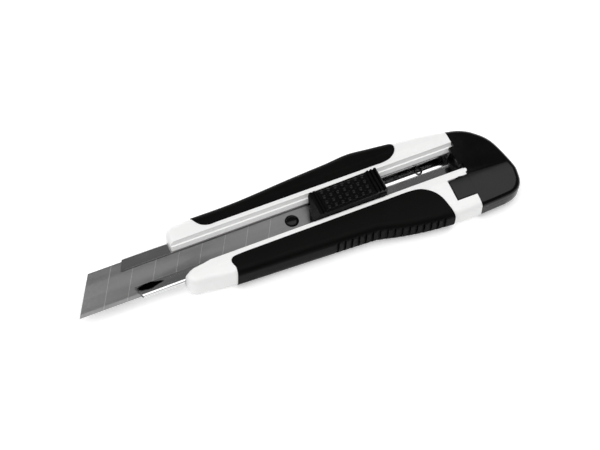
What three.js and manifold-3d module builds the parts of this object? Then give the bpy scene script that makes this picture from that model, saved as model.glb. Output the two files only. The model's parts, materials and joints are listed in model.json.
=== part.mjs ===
// Heavy-duty snap-off utility knife: a moulded handle with soft grips, a folded steel rail,
// a segmented blade on a locking slider, and a pull-off end cap with a press latch.
//
// Millimetres. The knife lies on its flat back in the plane Z = 0, slider up.
// X runs along the knife, blade point towards -X. Y runs from the cutting edge to the spine.
import * as THREE from 'three';
import { mergeVertices } from 'three/addons/utils/BufferGeometryUtils.js';
import Module from 'manifold-3d';

const wasm = await Module();
wasm.setup();

// ---------- driving dimensions ----------

// Blade
const bladeWidth = 18;
const bladeLength = 100;
const bladeThickness = 0.5;
const bladeAngle = 60;
const bladeTipX = -115;
const bladeTopZ = 8;
const edgeBevelWidth = 1.4;
const edgeThickness = 0.06;
const pegHoleRadius = 2.9;
const pegFromRearEnd = 6;

// Steel rail
const sheet = 0.6;
const bladeSideClearance = 0.2;
const lipAboveBlade = 0.15;
const lipEdgeToLedge = 1;
const railDepth = 4.65;
const railTipDepth = 2;
const railTaperStartX = -80;
const railTaperEndX = -53;
const railTipX = -92.4;
const railTipSweep = 2.5;
const railNearTipStep = 2.3;
const railNearTipSweep = 1.7;
const railBendChamfer = 0.45;
const notchPitch = 5;
const notchLength = 2;
const notchDepth = 1;
const notchCount = 18;
const firstNotchX = -52;

// Handle envelope
const noseX = -70.3;
const capEndX = 74.8;
const rimZ = 12.8;
const noseHalfWidth = 14.8;
const noseCorner = 4.2;
const waistHalfWidth = 15.2;
const waistFingerHalfWidth = 16.5;
const spineCrownX = 13;
const spineCrown = 19.1;
const fingerHollowX = 6;
const fingerHollow = 19.1;
const bellyX = 48;
const belly = 25.2;
const capSpineHalfWidth = 13.5;
const topRound = 2.5;
const backRoundIn = 4;
const backRoundUp = 5.5;
const leastRound = 0.3;

// Slot in the top of the handle
const slotHalfWidth = 6.8;
const slotWallLean = 0.6;
const ledgeWidth = 0.6;
const ledgeDepth = 1.8;

// Soft grips
const gripThickness = 2.4;
const gripProud = 0.4;
const gripStep = 0.25;
const gripFit = 0.12;
const rimStripWidth = 2;
const spineGripFrontX = -59.4;
const spineGripRearX = 32.3;
const fingerGripFrontX = -51.5;
const fingerGripRearX = 41.8;
const backPadDepth = 1.2;
const backPadMargin = 5.2;

// End cap and latch
const capX = 55.3;
const capWall = 1.8;
const capFit = 0.2;
const spigotEndX = 69;
const capFingerX = 54;
const capStripX = 55;
const latchTipX = 45.2;
const latchRootX = 53.7;
const latchHalfWidth = 4.6;
const latchY = -14.9;
const latchThickness = 1.8;
const latchDrop = 1;
const latchGap = 0.3;
const capPlugX = 53;

// Slider and carrier
const sliderFrontX = -14.4;
const sliderRearX = 19.8;
const sliderSideGap = 1.1;
const sliderFrontProud = 1.7;
const sliderRearProud = 3.3;
const pressTravel = 0.8;
const slideFit = 0.15;
const neckToSkirt = 1.45;
const neckUnderLedge = 0.2;
const buttonSkin = 2.3;
const buttonWall = 1.2;
const padFrontX = -7.2;
const padRearX = 14.9;
const padSideMargin = 0.9;
const padThickness = 1.1;
const armFrontX = -27;
const armSideGap = 1.6;
const armThickness = 1.1;
const pegFit = 0.35;
const pegProud = 0.9;
const carrierToFloor = 0.5;
const springX = 8;
const springHalfLength = 5.5;
const springHalfWidth = 2;
const springThickness = 0.3;
const pawlX = -2;
const pawlThickness = 1.6;
const pawlArmHeight = 1.3;
const pawlUnderLip = 0.8;
const pawlStemHalfWidth = 1.6;

// Rivets and spare blades
const rivetX = 39.2;
const rivetY = 3.8;
const rivetHeadRadius = 1.5;
const rivetHeadHeight = 0.5;
const rivetShankRadius = 0.9;
const rivetLength = 0.5;
const spareCount = 3;
const sparePocketZ = 1.5;
const sparePitch = 0.56;
const spareClearance = 0.25;
const spareFrontX = -50;

// ---------- sizes that follow ----------

const bladeBottomZ = bladeTopZ - bladeThickness;
const bladeHalf = bladeWidth / 2;
const bladeRearX = bladeTipX + bladeLength;
const bladeSlant = bladeWidth / Math.tan(THREE.MathUtils.degToRad(bladeAngle));
const lipUnderZ = bladeTopZ + lipAboveBlade;
const railTopZ = lipUnderZ + sheet;
const railBottomZ = railTopZ - railDepth;
const railFloorZ = railBottomZ + sheet;
const railInnerHalf = bladeHalf + bladeSideClearance;
const railOuterHalf = railInnerHalf + sheet;
const slotHalfWidthAtLedge = slotHalfWidth - slotWallLean;
const ledgeHalfWidth = slotHalfWidthAtLedge - ledgeWidth;
const ledgeZ = rimZ - ledgeDepth;
const lipOpeningHalf = ledgeHalfWidth - lipEdgeToLedge;
const sliderHalfWidth = slotHalfWidth - sliderSideGap;
const sliderFrontZ = rimZ + sliderFrontProud;
const sliderRearZ = rimZ + sliderRearProud;
const padHalfWidth = sliderHalfWidth - padSideMargin;
const neckHalfWidth = lipOpeningHalf - slideFit / 2 - neckToSkirt;
const neckZ = ledgeZ - neckUnderLedge;
const buttonSkinZ = sliderFrontZ - buttonSkin;
const armHalfWidth = bladeHalf - armSideGap;
const baseHalfWidth = bladeHalf;
const pegRadius = pegHoleRadius - pegFit;
const pawlReach = lipOpeningHalf + pawlUnderLip;
const railFit = 0.1;
const railRearX = capX - 1;
const rimOuter = slotHalfWidth + rimStripWidth;
const far = 60;

// ---------- helpers ----------

function toSolid(geometry) {
  const clean = geometry.clone();
  clean.deleteAttribute('normal');
  clean.deleteAttribute('uv');
  const merged = mergeVertices(clean, 1e-4);
  return new wasm.Manifold(new wasm.Mesh({
    numProp: 3,
    vertProperties: new Float32Array(merged.attributes.position.array),
    triVerts: new Uint32Array(merged.index.array),
  }));
}

function toGeometry(solid) {
  const mesh = solid.getMesh();
  const geometry = new THREE.BufferGeometry();
  geometry.setAttribute('position', new THREE.BufferAttribute(mesh.vertProperties, 3));
  geometry.setIndex(new THREE.BufferAttribute(mesh.triVerts, 1));
  return geometry;
}

function outlineShape(points) {
  return new THREE.Shape(points.map(([x, y]) => new THREE.Vector2(x, y)));
}

// Prism of a plan outline between two heights.
function plate(points, z0, z1) {
  const geometry = new THREE.ExtrudeGeometry(outlineShape(points), { depth: z1 - z0, bevelEnabled: false });
  geometry.translate(0, 0, z0);
  return toSolid(geometry);
}

// Prism of an outline drawn in X and Z, running across the knife from y0 to y1.
function sideProfile(points, y0, y1) {
  const geometry = new THREE.ExtrudeGeometry(outlineShape(points), { depth: y1 - y0, bevelEnabled: false });
  geometry.rotateX(Math.PI / 2);
  geometry.translate(0, y1, 0);
  return toSolid(geometry);
}

// Prism of an outline drawn in Y and Z, running along the knife from x0 to x1.
function crossSection(points, x0, x1) {
  const geometry = new THREE.ExtrudeGeometry(outlineShape(points), { depth: x1 - x0, bevelEnabled: false });
  const alongX = new THREE.Matrix4().makeBasis(
    new THREE.Vector3(0, 1, 0),
    new THREE.Vector3(0, 0, 1),
    new THREE.Vector3(1, 0, 0),
  );
  geometry.applyMatrix4(alongX);
  geometry.translate(x0, 0, 0);
  return toSolid(geometry);
}

function box(x0, x1, y0, y1, z0, z1) {
  const geometry = new THREE.BoxGeometry(x1 - x0, y1 - y0, z1 - z0);
  geometry.translate((x0 + x1) / 2, (y0 + y1) / 2, (z0 + z1) / 2);
  return toSolid(geometry);
}

// Turned solid standing on Z at (x, y), from a profile of radius and height that closes on the axis.
function turned(profile, x, y, sides) {
  const geometry = new THREE.LatheGeometry(profile.map(([r, z]) => new THREE.Vector2(r, z)), sides);
  geometry.rotateX(Math.PI / 2);
  geometry.translate(x, y, 0);
  return toSolid(geometry);
}

function pin(radius, x, y, z0, z1, sides = 24) {
  return turned([[0, z0], [radius, z0], [radius, z1], [0, z1]], x, y, sides);
}

function union(...solids) {
  return solids.reduce((whole, solid) => whole.add(solid));
}

function cut(solid, ...tools) {
  return tools.reduce((whole, tool) => whole.subtract(tool), solid);
}

function arc(cx, cy, radius, fromDegrees, toDegrees, steps) {
  const points = [];
  for (let i = 0; i <= steps; i += 1) {
    const angle = THREE.MathUtils.degToRad(fromDegrees + ((toDegrees - fromDegrees) * i) / steps);
    points.push([cx + radius * Math.cos(angle), cy + radius * Math.sin(angle)]);
  }
  return points;
}

function smoothLine(points, steps) {
  const curve = new THREE.SplineCurve(points.map(([x, y]) => new THREE.Vector2(x, y)));
  return curve.getSpacedPoints(steps).map((p) => [p.x, p.y]);
}

// ---------- handle envelope ----------

// Plan outline of the whole handle with its cap, anticlockwise, starting at the nose.
function handleOutline() {
  const cornerX = noseX + noseCorner;
  const cornerY = noseHalfWidth - noseCorner;
  const finger = smoothLine([
    [cornerX + 3, -noseHalfWidth],
    [fingerGripFrontX, -waistFingerHalfWidth],
    [fingerGripFrontX + 32, 1.2 - fingerHollow],
    [fingerHollowX, -fingerHollow],
    [fingerHollowX + 5, -fingerHollow - 0.6],
    [fingerHollowX + 13, -fingerHollow - 2.6],
    [bellyX - 18, 1.4 - belly],
    [bellyX - 6, 0.2 - belly],
    [bellyX, -belly],
    [capX + 6.5, 0.4 - belly],
    [capEndX - 5.3, 1.3 - belly],
  ], 26);
  const capCorner = smoothLine([
    [capEndX - 5.3, 1.3 - belly],
    [capEndX - 1.4, 4.2 - belly],
    [capEndX, 9.2 - belly],
    [capEndX - 0.1, 2 - capSpineHalfWidth],
    [capEndX - 3.2, 1.5],
    [capX + 11.3, 8.2],
    [capX + 6.1, 11.8],
    [capX, capSpineHalfWidth],
  ], 18);
  const spine = smoothLine([
    [capX, capSpineHalfWidth],
    [capX - 10, capSpineHalfWidth + 2],
    [spineGripRearX, spineCrown - 2.1],
    [spineCrownX + 9, spineCrown - 0.9],
    [spineCrownX, spineCrown],
    [spineCrownX - 10, spineCrown - 0.9],
    [spineCrownX - 26, spineCrown - 1.9],
    [spineGripFrontX + 20, waistHalfWidth],
    [spineGripFrontX, noseHalfWidth + 0.3],
    [cornerX + 3, noseHalfWidth],
  ], 24);
  return [
    ...arc(cornerX, -cornerY, noseCorner, 180, 270, 3),
    ...finger,
    ...capCorner.slice(1),
    ...spine.slice(1),
    ...arc(cornerX, cornerY, noseCorner, 90, 180, 3),
  ];
}

// Outline plate with a quarter round along both faces.
function roundedPlate(points, grow, z0, z1, roundIn, roundUp, segments) {
  const geometry = new THREE.ExtrudeGeometry(outlineShape(points), {
    depth: z1 - z0 - 2 * roundUp,
    bevelThickness: roundUp,
    bevelSize: roundIn,
    bevelOffset: grow - roundIn,
    bevelSegments: segments,
  });
  geometry.translate(0, 0, z0 + roundUp);
  return toSolid(geometry);
}

// The handle's outer form, grown sideways, upwards and downwards by the given amounts. Its rounds
// grow with it, so a smaller copy lies parallel inside.
function envelope(grow, growTop, growBack) {
  const outline = handleOutline();
  const topRadius = Math.max(topRound + grow, leastRound);
  const backIn = Math.max(backRoundIn + grow, leastRound);
  const backUp = Math.max(backRoundUp + grow, leastRound);
  const topHalf = roundedPlate(outline, grow, -far / 4, rimZ + growTop, topRadius, topRadius, 3);
  const backHalf = roundedPlate(outline, grow, -growBack, far / 2, backIn, backUp, 3);
  return topHalf.intersect(backHalf);
}

// ---------- plan regions of the grips, the cap and the latch ----------

function spineGripRegion(gap) {
  const inner = rimOuter - gap;
  const front = spineGripFrontX - gap;
  const rear = spineGripRearX + gap;
  return [
    [front, far],
    [front, inner + 6.6],
    [front + 1.2, inner + 2.9],
    [front + 2.8, inner + 1],
    [front + 5.6, inner],
    [rear - 7.8, inner],
    [rear - 5.2, inner + 0.5],
    [rear - 2, inner + 2.8],
    [rear - 0.5, inner + 5.6],
    [rear, inner + 8],
    [rear, far],
  ];
}

function fingerGripRegion(gap) {
  const inner = -rimOuter + gap;
  const front = fingerGripFrontX - gap;
  const rear = fingerGripRearX + gap;
  return [
    [front, -far],
    [front, inner - 3.8],
    [front + 0.5, inner - 1.7],
    [front + 2.9, inner - 0.3],
    [rear - 13.9, inner + 0.2],
    [rear - 9.7, inner - 0.3],
    [rear - 6.7, inner - 1.7],
    [rear - 3.8, inner - 4.4],
    [rear - 2.1, inner - 7.5],
    [rear - 1.2, inner - 11],
    [rear - 0.6, inner - 14],
    [rear, inner - 17],
    [rear, -far],
  ];
}

// The cap covers everything behind this line; the handle's rim strip runs a little way into it.
function capRegion(gap) {
  const edge = capX - gap;
  const nearEdge = capFingerX - gap;
  return [
    [edge, far],
    [edge, slotHalfWidth],
    [capPlugX - gap, slotHalfWidth],
    [capPlugX - gap, -slotHalfWidth],
    [capStripX - gap, -slotHalfWidth],
    [capStripX + 0.5 - gap, -slotHalfWidth - rimStripWidth / 2],
    [capStripX - gap, -rimOuter],
    [nearEdge, -rimOuter],
    [nearEdge, -far],
    [2 * far, -far],
    [2 * far, far],
  ];
}

// ---------- handle ----------

function slotCut() {
  return crossSection([
    [-lipOpeningHalf - railFit, railTopZ - sheet],
    [lipOpeningHalf + railFit, railTopZ - sheet],
    [lipOpeningHalf + railFit, railTopZ + 3 * railFit],
    [ledgeHalfWidth, ledgeZ],
    [slotHalfWidthAtLedge, ledgeZ],
    [slotHalfWidth, rimZ],
    [slotHalfWidth, far],
    [-slotHalfWidth, far],
    [-slotHalfWidth, rimZ],
    [-slotHalfWidthAtLedge, ledgeZ],
    [-ledgeHalfWidth, ledgeZ],
    [-lipOpeningHalf - railFit, railTopZ + 3 * railFit],
  ], noseX - 1, spigotEndX + 1);
}

function railChannel() {
  const half = railOuterHalf + railFit;
  return box(noseX - 1, spigotEndX + 1, -half, half, railBottomZ - railFit, railTopZ + railFit);
}

function sparePocket() {
  const half = bladeHalf + spareClearance;
  const height = spareCount * sparePitch + spareClearance;
  return box(spareFrontX - 1, spigotEndX + 1, -half, half, sparePocketZ, sparePocketZ + height);
}

function gripPocket(region) {
  const skin = -gripThickness - gripFit;
  return plate(region, -far, far).subtract(envelope(skin, skin, -backPadDepth - gripFit));
}

function latchRecess() {
  return box(
    latchTipX - latchGap,
    far,
    latchY - latchHalfWidth - latchGap,
    latchY + latchHalfWidth + latchGap,
    rimZ - latchThickness - latchDrop,
    far,
  );
}

// Long pad with round ends on the back of the handle.
function backPadOutline(grow) {
  const radius = slotHalfWidth + grow;
  const front = spineGripFrontX + backPadMargin + slotHalfWidth;
  const rear = spineGripRearX - backPadMargin;
  return [...arc(rear, 0, radius, -90, 90, 8), ...arc(front, 0, radius, 90, 270, 8)];
}

function makeHandleBody() {
  const shellEnd = -capWall - capFit;
  const spigot = envelope(shellEnd, shellEnd, shellEnd).intersect(box(0, spigotEndX, -far, far, -far, far));
  const shell = envelope(0, 0, 0).subtract(plate(capRegion(latchGap), -far, far));
  const rivetHoles = [rivetY, -rivetY].map(
    (y) => pin(rivetShankRadius + railFit, rivetX, y, railBottomZ - 1, railFloorZ),
  );
  return cut(
    union(shell, spigot),
    railChannel(),
    slotCut(),
    sparePocket(),
    gripPocket(spineGripRegion(gripFit)),
    gripPocket(fingerGripRegion(gripFit)),
    latchRecess(),
    plate(backPadOutline(gripFit), -far, backPadDepth + gripFit),
    ...rivetHoles,
  );
}

function makeGrip(region) {
  const outer = envelope(gripProud, gripStep, 0);
  const inner = envelope(-gripThickness, -gripThickness, -backPadDepth);
  return outer.intersect(plate(region, -far, far)).subtract(inner);
}

function makeBackPad() {
  return plate(backPadOutline(0), 0, backPadDepth);
}

// ---------- rail, rivets ----------

// Side outline of the rail, pulled in by the sheet thickness for its inside. The tip is pressed thin.
function railSideOutline(inset, reach) {
  const front = railTipX - reach;
  const rear = railRearX + reach;
  const tipZ = railTopZ - railTipDepth + inset;
  const topZ = railTopZ - inset;
  return [
    [front, tipZ],
    [railTaperStartX, tipZ],
    [railTaperEndX, railBottomZ + inset],
    [rear, railBottomZ + inset],
    [rear, topZ],
    [front, topZ],
  ];
}

function makeRail() {
  const outer = sideProfile(railSideOutline(0, 0), -railOuterHalf, railOuterHalf);
  const bends = crossSection([
    [-railOuterHalf + railBendChamfer, -far],
    [railOuterHalf - railBendChamfer, -far],
    [railOuterHalf, railBottomZ + railBendChamfer],
    [railOuterHalf, railTopZ - railBendChamfer],
    [railOuterHalf - railBendChamfer, railTopZ],
    [-railOuterHalf + railBendChamfer, railTopZ],
    [-railOuterHalf, railTopZ - railBendChamfer],
    [-railOuterHalf, railBottomZ + railBendChamfer],
  ], -2 * far, 2 * far);
  const inside = sideProfile(railSideOutline(sheet, 1), -railInnerHalf, railInnerHalf);
  const opening = box(-2 * far, 2 * far, -lipOpeningHalf, lipOpeningHalf, bladeTopZ, far);
  const nearTipX = railTipX + railNearTipStep;
  const tipTrim = plate([
    [-2 * far, railOuterHalf + 1],
    [railTipX + railTipSweep, railOuterHalf],
    [railTipX, lipOpeningHalf],
    [nearTipX, -lipOpeningHalf],
    [nearTipX + railNearTipSweep, -railOuterHalf],
    [nearTipX + railNearTipSweep, -railOuterHalf - 1],
    [-2 * far, -railOuterHalf - 1],
  ], -far, far);
  const notches = [];
  for (let i = 0; i < notchCount; i += 1) {
    const x = firstNotchX + i * notchPitch;
    const edgeY = -lipOpeningHalf;
    notches.push(box(x, x + notchLength, edgeY - notchDepth, edgeY + 1, bladeTopZ, far));
  }
  const rivetHoles = [rivetY, -rivetY].map(
    (y) => pin(rivetHeadRadius + railFit, rivetX, y, railBottomZ - 1, bladeTopZ),
  );
  return cut(outer.intersect(bends), inside, opening, tipTrim, ...notches, ...rivetHoles);
}

function makeRivet(y) {
  const headTop = railFloorZ - 0.05;
  const headUnder = headTop - rivetHeadHeight;
  return turned([
    [0, railBottomZ - rivetLength],
    [rivetShankRadius, railBottomZ - rivetLength],
    [rivetShankRadius, headUnder],
    [rivetHeadRadius, headUnder],
    [rivetHeadRadius, headTop],
    [0, headTop],
  ], rivetX, y, 24);
}

// ---------- blades ----------

// Blade with its ground cutting edge on the -Y side, front edge slanted, hole near the rear end.
function makeBlade(tipX, topZ) {
  const edge = (bladeThickness - edgeThickness) / 2;
  const bottomZ = topZ - bladeThickness;
  const strip = crossSection([
    [-bladeHalf, bottomZ + edge],
    [-bladeHalf + edgeBevelWidth, bottomZ],
    [bladeHalf, bottomZ],
    [bladeHalf, topZ],
    [-bladeHalf + edgeBevelWidth, topZ],
    [-bladeHalf, topZ - edge],
  ], tipX, tipX + bladeLength);
  const front = plate([
    [tipX - far, -2 * bladeHalf],
    [tipX - bladeSlant / 2, -2 * bladeHalf],
    [tipX + 1.5 * bladeSlant, 2 * bladeHalf],
    [tipX - far, 2 * bladeHalf],
  ], bottomZ - 1, topZ + 1);
  const hole = pin(pegHoleRadius, tipX + bladeLength - pegFromRearEnd, 0, bottomZ - 1, topZ + 1);
  return cut(strip, front, hole);
}

// ---------- carrier, lock and slider ----------

const carrierTopZ = lipUnderZ - slideFit;
const carrierBottomZ = railFloorZ + carrierToFloor;
const armTopZ = bladeBottomZ - 0.1;
const baseFrontX = bladeRearX + 1;
const baseRearX = sliderRearX + 1.6;
const neckFrontX = sliderFrontX + buttonWall + 2 * slideFit + 1;
const neckRearX = sliderRearX - buttonWall - 2 * slideFit;
const springSeatZ = carrierBottomZ + 1;
const springTopZ = buttonSkinZ - 0.1;
const pawlTopZ = carrierTopZ;
const pawlUnderZ = pawlTopZ - pawlArmHeight;

function makeCarrier() {
  const arm = box(armFrontX, baseFrontX + 1, -armHalfWidth, armHalfWidth, armTopZ - armThickness, armTopZ);
  const base = box(baseFrontX, baseRearX, -baseHalfWidth, baseHalfWidth, carrierBottomZ, carrierTopZ);
  const neck = box(neckFrontX, neckRearX, -neckHalfWidth, neckHalfWidth, carrierTopZ - 1, neckZ);
  const pegX = bladeRearX - pegFromRearEnd;
  const domeZ = bladeTopZ + pegProud;
  const peg = turned([
    [0, armTopZ - armThickness],
    [pegRadius, armTopZ - armThickness],
    [pegRadius, bladeTopZ + 0.2],
    [pegRadius * 0.8, bladeTopZ + 0.65 * pegProud],
    [pegRadius * 0.4, domeZ - 0.05],
    [0, domeZ],
  ], pegX, 0, 24);
  const springWell = box(
    springX - springHalfLength - 0.6,
    springX + springHalfLength + 0.6,
    -springHalfWidth - slideFit,
    springHalfWidth + slideFit,
    springSeatZ,
    far,
  );
  const pawlSlot = box(
    pawlX - pawlThickness / 2 - slideFit,
    pawlX + pawlThickness / 2 + slideFit,
    -pawlReach - slideFit,
    pawlReach + slideFit,
    pawlUnderZ - pressTravel - slideFit,
    far,
  );
  return cut(union(arm, base, neck, peg), springWell, pawlSlot);
}

// Arched leaf that pushes the button up.
function makeLockSpring() {
  const outer = [];
  const inner = [];
  const steps = 12;
  const rise = springTopZ - springSeatZ - springThickness - 0.1;
  for (let i = 0; i <= steps; i += 1) {
    const along = -1 + (2 * i) / steps;
    const x = springX + along * springHalfLength;
    const z = springSeatZ + 0.05 + rise * Math.cos((along * Math.PI) / 2) ** 2;
    inner.push([x, z]);
    outer.unshift([x, z + springThickness]);
  }
  return sideProfile([...inner, ...outer], -springHalfWidth, springHalfWidth);
}

// Steel T: its stem hangs from the button, its arms reach under the rail's lips.
function makeLockPawl() {
  const x0 = pawlX - pawlThickness / 2;
  const x1 = pawlX + pawlThickness / 2;
  const arms = box(x0, x1, -pawlReach, pawlReach, pawlUnderZ, pawlTopZ);
  const stem = box(x0, x1, -pawlStemHalfWidth, pawlStemHalfWidth, pawlTopZ - 0.5, buttonSkinZ + 1);
  return union(arms, stem);
}

function sliderTopAt(x) {
  const share = (x - sliderFrontX) / (sliderRearX - sliderFrontX);
  return sliderFrontZ + share * (sliderRearZ - sliderFrontZ);
}

function makeSliderButton() {
  const underZ = railTopZ + railFit + pressTravel + slideFit;
  const footX = sliderFrontX + 3.4;
  const block = sideProfile([
    [sliderFrontX, underZ],
    [sliderRearX, underZ],
    [sliderRearX, sliderRearZ - 0.4],
    [sliderRearX - 0.4, sliderRearZ],
    [footX, sliderTopAt(footX)],
    [sliderFrontX + 0.6, underZ + 2.4],
    [sliderFrontX, underZ + 1.4],
  ], -sliderHalfWidth, sliderHalfWidth);
  const shoulderZ = ledgeZ + pressTravel + slideFit;
  const skirtHalf = lipOpeningHalf - slideFit / 2;
  const sideSteps = [-1, 1].map((side) => {
    const edges = [side * skirtHalf, side * far].sort((a, b) => a - b);
    return box(-far, far, edges[0], edges[1], 0, shoulderZ);
  });
  const neckPocket = box(
    neckFrontX - slideFit,
    neckRearX + slideFit,
    -neckHalfWidth - slideFit,
    neckHalfWidth + slideFit,
    underZ - 1,
    buttonSkinZ,
  );
  const padPocket = sideProfile([
    [padFrontX - gripFit, sliderTopAt(padFrontX) - padThickness],
    [padRearX + gripFit, sliderTopAt(padRearX) - padThickness],
    [padRearX + gripFit, far],
    [padFrontX - gripFit, far],
  ], -padHalfWidth - gripFit, padHalfWidth + gripFit);
  const pawlSocket = box(
    pawlX - pawlThickness / 2 - 0.05,
    pawlX + pawlThickness / 2 + 0.05,
    -pawlStemHalfWidth - 0.05,
    pawlStemHalfWidth + 0.05,
    underZ,
    buttonSkinZ + 1.05,
  );
  return cut(block, ...sideSteps, neckPocket, padPocket, pawlSocket);
}

function makeSliderPad() {
  const proud = 0.2;
  return sideProfile([
    [padFrontX, sliderTopAt(padFrontX) - padThickness + gripFit],
    [padRearX, sliderTopAt(padRearX) - padThickness + gripFit],
    [padRearX, sliderTopAt(padRearX) + proud],
    [padFrontX, sliderTopAt(padFrontX) + proud],
  ], -padHalfWidth, padHalfWidth);
}

// ---------- end cap ----------

function makeEndCap() {
  const outer = envelope(0, 0, 0).intersect(plate(capRegion(0), -far, far));
  const cavity = envelope(-capWall, -capWall, -capWall);
  const cavityReach = box(0, spigotEndX + capFit, -far, far, -far, far);
  const plugHalf = lipOpeningHalf - railFit;
  const plugZ = railTopZ + 4 * railFit;
  const plug = box(capPlugX, capPlugX + capWall, -plugHalf, plugHalf, plugZ, rimZ - 0.5);
  const latchClear = box(
    0,
    latchRootX + latchGap,
    latchY - latchHalfWidth - latchGap,
    latchY + latchHalfWidth + latchGap,
    -far,
    far,
  );
  return cut(union(outer.subtract(cavity.intersect(cavityReach)), plug), latchClear);
}

function makeCapLatch() {
  const lead = 0.5;
  return sideProfile([
    [latchTipX, rimZ - latchThickness],
    [latchRootX, rimZ - latchThickness],
    [latchRootX, rimZ],
    [latchTipX + lead, rimZ],
    [latchTipX, rimZ - lead],
  ], latchY - latchHalfWidth, latchY + latchHalfWidth);
}

// ---------- materials and assembly ----------

function material(color, roughness, metalness) {
  return new THREE.MeshStandardMaterial({ color, roughness, metalness });
}

const group = new THREE.Group();

function place(parent, name, solid, look) {
  const mesh = new THREE.Mesh(toGeometry(solid), look);
  mesh.name = name;
  parent.add(mesh);
}

const handle = new THREE.Group();
place(handle, 'handle_body', makeHandleBody(), material(0xf2f2f0, 0.35, 0));
place(handle, 'spine_grip', makeGrip(spineGripRegion(0)), material(0x1b1b1c, 0.75, 0));
place(handle, 'finger_grip', makeGrip(fingerGripRegion(0)), material(0x1b1b1c, 0.75, 0));
place(handle, 'back_pad', makeBackPad(), material(0x1b1b1c, 0.75, 0));
place(handle, 'blade_rail', makeRail(), material(0xb9bcbf, 0.25, 1));
place(handle, 'rail_rivet_spine', makeRivet(rivetY), material(0x9a9a98, 0.4, 1));
place(handle, 'rail_rivet_edge', makeRivet(-rivetY), material(0x9a9a98, 0.4, 1));
for (let i = 0; i < spareCount; i += 1) {
  const topZ = sparePocketZ + 0.1 + bladeThickness + i * sparePitch;
  place(handle, `spare_blade_${i + 1}`, makeBlade(spareFrontX, topZ), material(0x8e9092, 0.35, 1));
}

const carriage = new THREE.Group();
place(carriage, 'snap_off_blade', makeBlade(bladeTipX, bladeTopZ), material(0x8e9092, 0.35, 1));
place(carriage, 'blade_carrier', makeCarrier(), material(0x111112, 0.4, 0));
place(carriage, 'lock_spring', makeLockSpring(), material(0xa8a8a8, 0.3, 1));

const button = new THREE.Group();
place(button, 'slider_button', makeSliderButton(), material(0x0e0e0f, 0.4, 0));
place(button, 'slider_pad', makeSliderPad(), material(0x0e0e0f, 0.6, 0));
place(button, 'lock_pawl', makeLockPawl(), material(0x8a8c8e, 0.4, 1));

const cap = new THREE.Group();
place(cap, 'end_cap', makeEndCap(), material(0x0b0b0c, 0.12, 0));
place(cap, 'cap_latch', makeCapLatch(), material(0x0b0b0c, 0.12, 0));

carriage.add(button);
group.add(handle, carriage, cap);

export default group;
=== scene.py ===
"""Looks of a snap-off utility knife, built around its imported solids.

Pieces are drawn in millimetres and stored in metres. The knife lies on its flat back, slider up:
X runs from the blade point to the end cap, Y from the cutting edge to the spine.
"""

import json
import math

import bmesh
import bpy
from bpy.props import FloatProperty, FloatVectorProperty, IntProperty, PointerProperty
from mathutils import Matrix, Vector
from mathutils.geometry import interpolate_bezier


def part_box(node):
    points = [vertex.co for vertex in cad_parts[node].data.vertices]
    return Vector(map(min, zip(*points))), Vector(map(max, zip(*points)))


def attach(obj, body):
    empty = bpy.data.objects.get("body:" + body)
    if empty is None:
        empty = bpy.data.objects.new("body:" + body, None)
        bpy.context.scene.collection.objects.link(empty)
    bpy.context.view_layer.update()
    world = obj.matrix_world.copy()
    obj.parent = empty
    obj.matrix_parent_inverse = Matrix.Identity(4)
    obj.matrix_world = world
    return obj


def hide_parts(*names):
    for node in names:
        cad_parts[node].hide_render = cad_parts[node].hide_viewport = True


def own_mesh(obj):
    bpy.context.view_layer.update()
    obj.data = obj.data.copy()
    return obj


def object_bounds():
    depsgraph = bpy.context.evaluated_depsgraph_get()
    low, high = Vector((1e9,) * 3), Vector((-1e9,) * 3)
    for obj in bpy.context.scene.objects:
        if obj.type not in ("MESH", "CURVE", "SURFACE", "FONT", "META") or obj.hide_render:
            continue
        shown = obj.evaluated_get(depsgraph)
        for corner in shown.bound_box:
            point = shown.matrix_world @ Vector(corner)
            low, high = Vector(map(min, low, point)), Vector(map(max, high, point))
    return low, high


bl_info = {
    "name": "Utility Knife Maker",
    "version": (1, 0, 0),
    "blender": (4, 5, 0),
    "location": "3D View > Sidebar > Knife",
    "description": "Builds the visible pieces of a snap-off utility knife around its solids",
    "category": "Add Mesh",
}

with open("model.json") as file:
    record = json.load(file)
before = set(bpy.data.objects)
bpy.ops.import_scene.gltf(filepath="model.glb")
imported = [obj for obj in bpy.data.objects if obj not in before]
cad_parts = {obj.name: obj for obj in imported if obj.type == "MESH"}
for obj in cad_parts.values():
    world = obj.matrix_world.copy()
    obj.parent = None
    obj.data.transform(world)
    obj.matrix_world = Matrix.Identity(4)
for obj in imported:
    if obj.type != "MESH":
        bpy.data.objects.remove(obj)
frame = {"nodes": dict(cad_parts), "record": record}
cad_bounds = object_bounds()
MM = 0.001


def node_box(node):
    """Lowest and highest corner of a solid, in millimetres."""
    low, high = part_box(node)
    return low / MM, high / MM


HANDLE_LOW, HANDLE_HIGH = node_box("handle_body")
CAP_LOW, CAP_HIGH = node_box("end_cap")
RAIL_LOW, RAIL_HIGH = node_box("blade_rail")
BLADE_LOW, BLADE_HIGH = node_box("snap_off_blade")
SPINE_LOW, SPINE_HIGH = node_box("spine_grip")
FINGER_LOW, FINGER_HIGH = node_box("finger_grip")
BUTTON_LOW, BUTTON_HIGH = node_box("slider_button")
PAD_LOW, PAD_HIGH = node_box("slider_pad")
LATCH_LOW, LATCH_HIGH = node_box("cap_latch")
CARRIER_LOW, CARRIER_HIGH = node_box("blade_carrier")
RIVET_LOW, RIVET_HIGH = node_box("rail_rivet_spine")
BACK_PAD_LOW, BACK_PAD_HIGH = node_box("back_pad")
SPRING_LOW, SPRING_HIGH = node_box("lock_spring")

# ---------- fixed sizes in millimetres ----------

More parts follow.
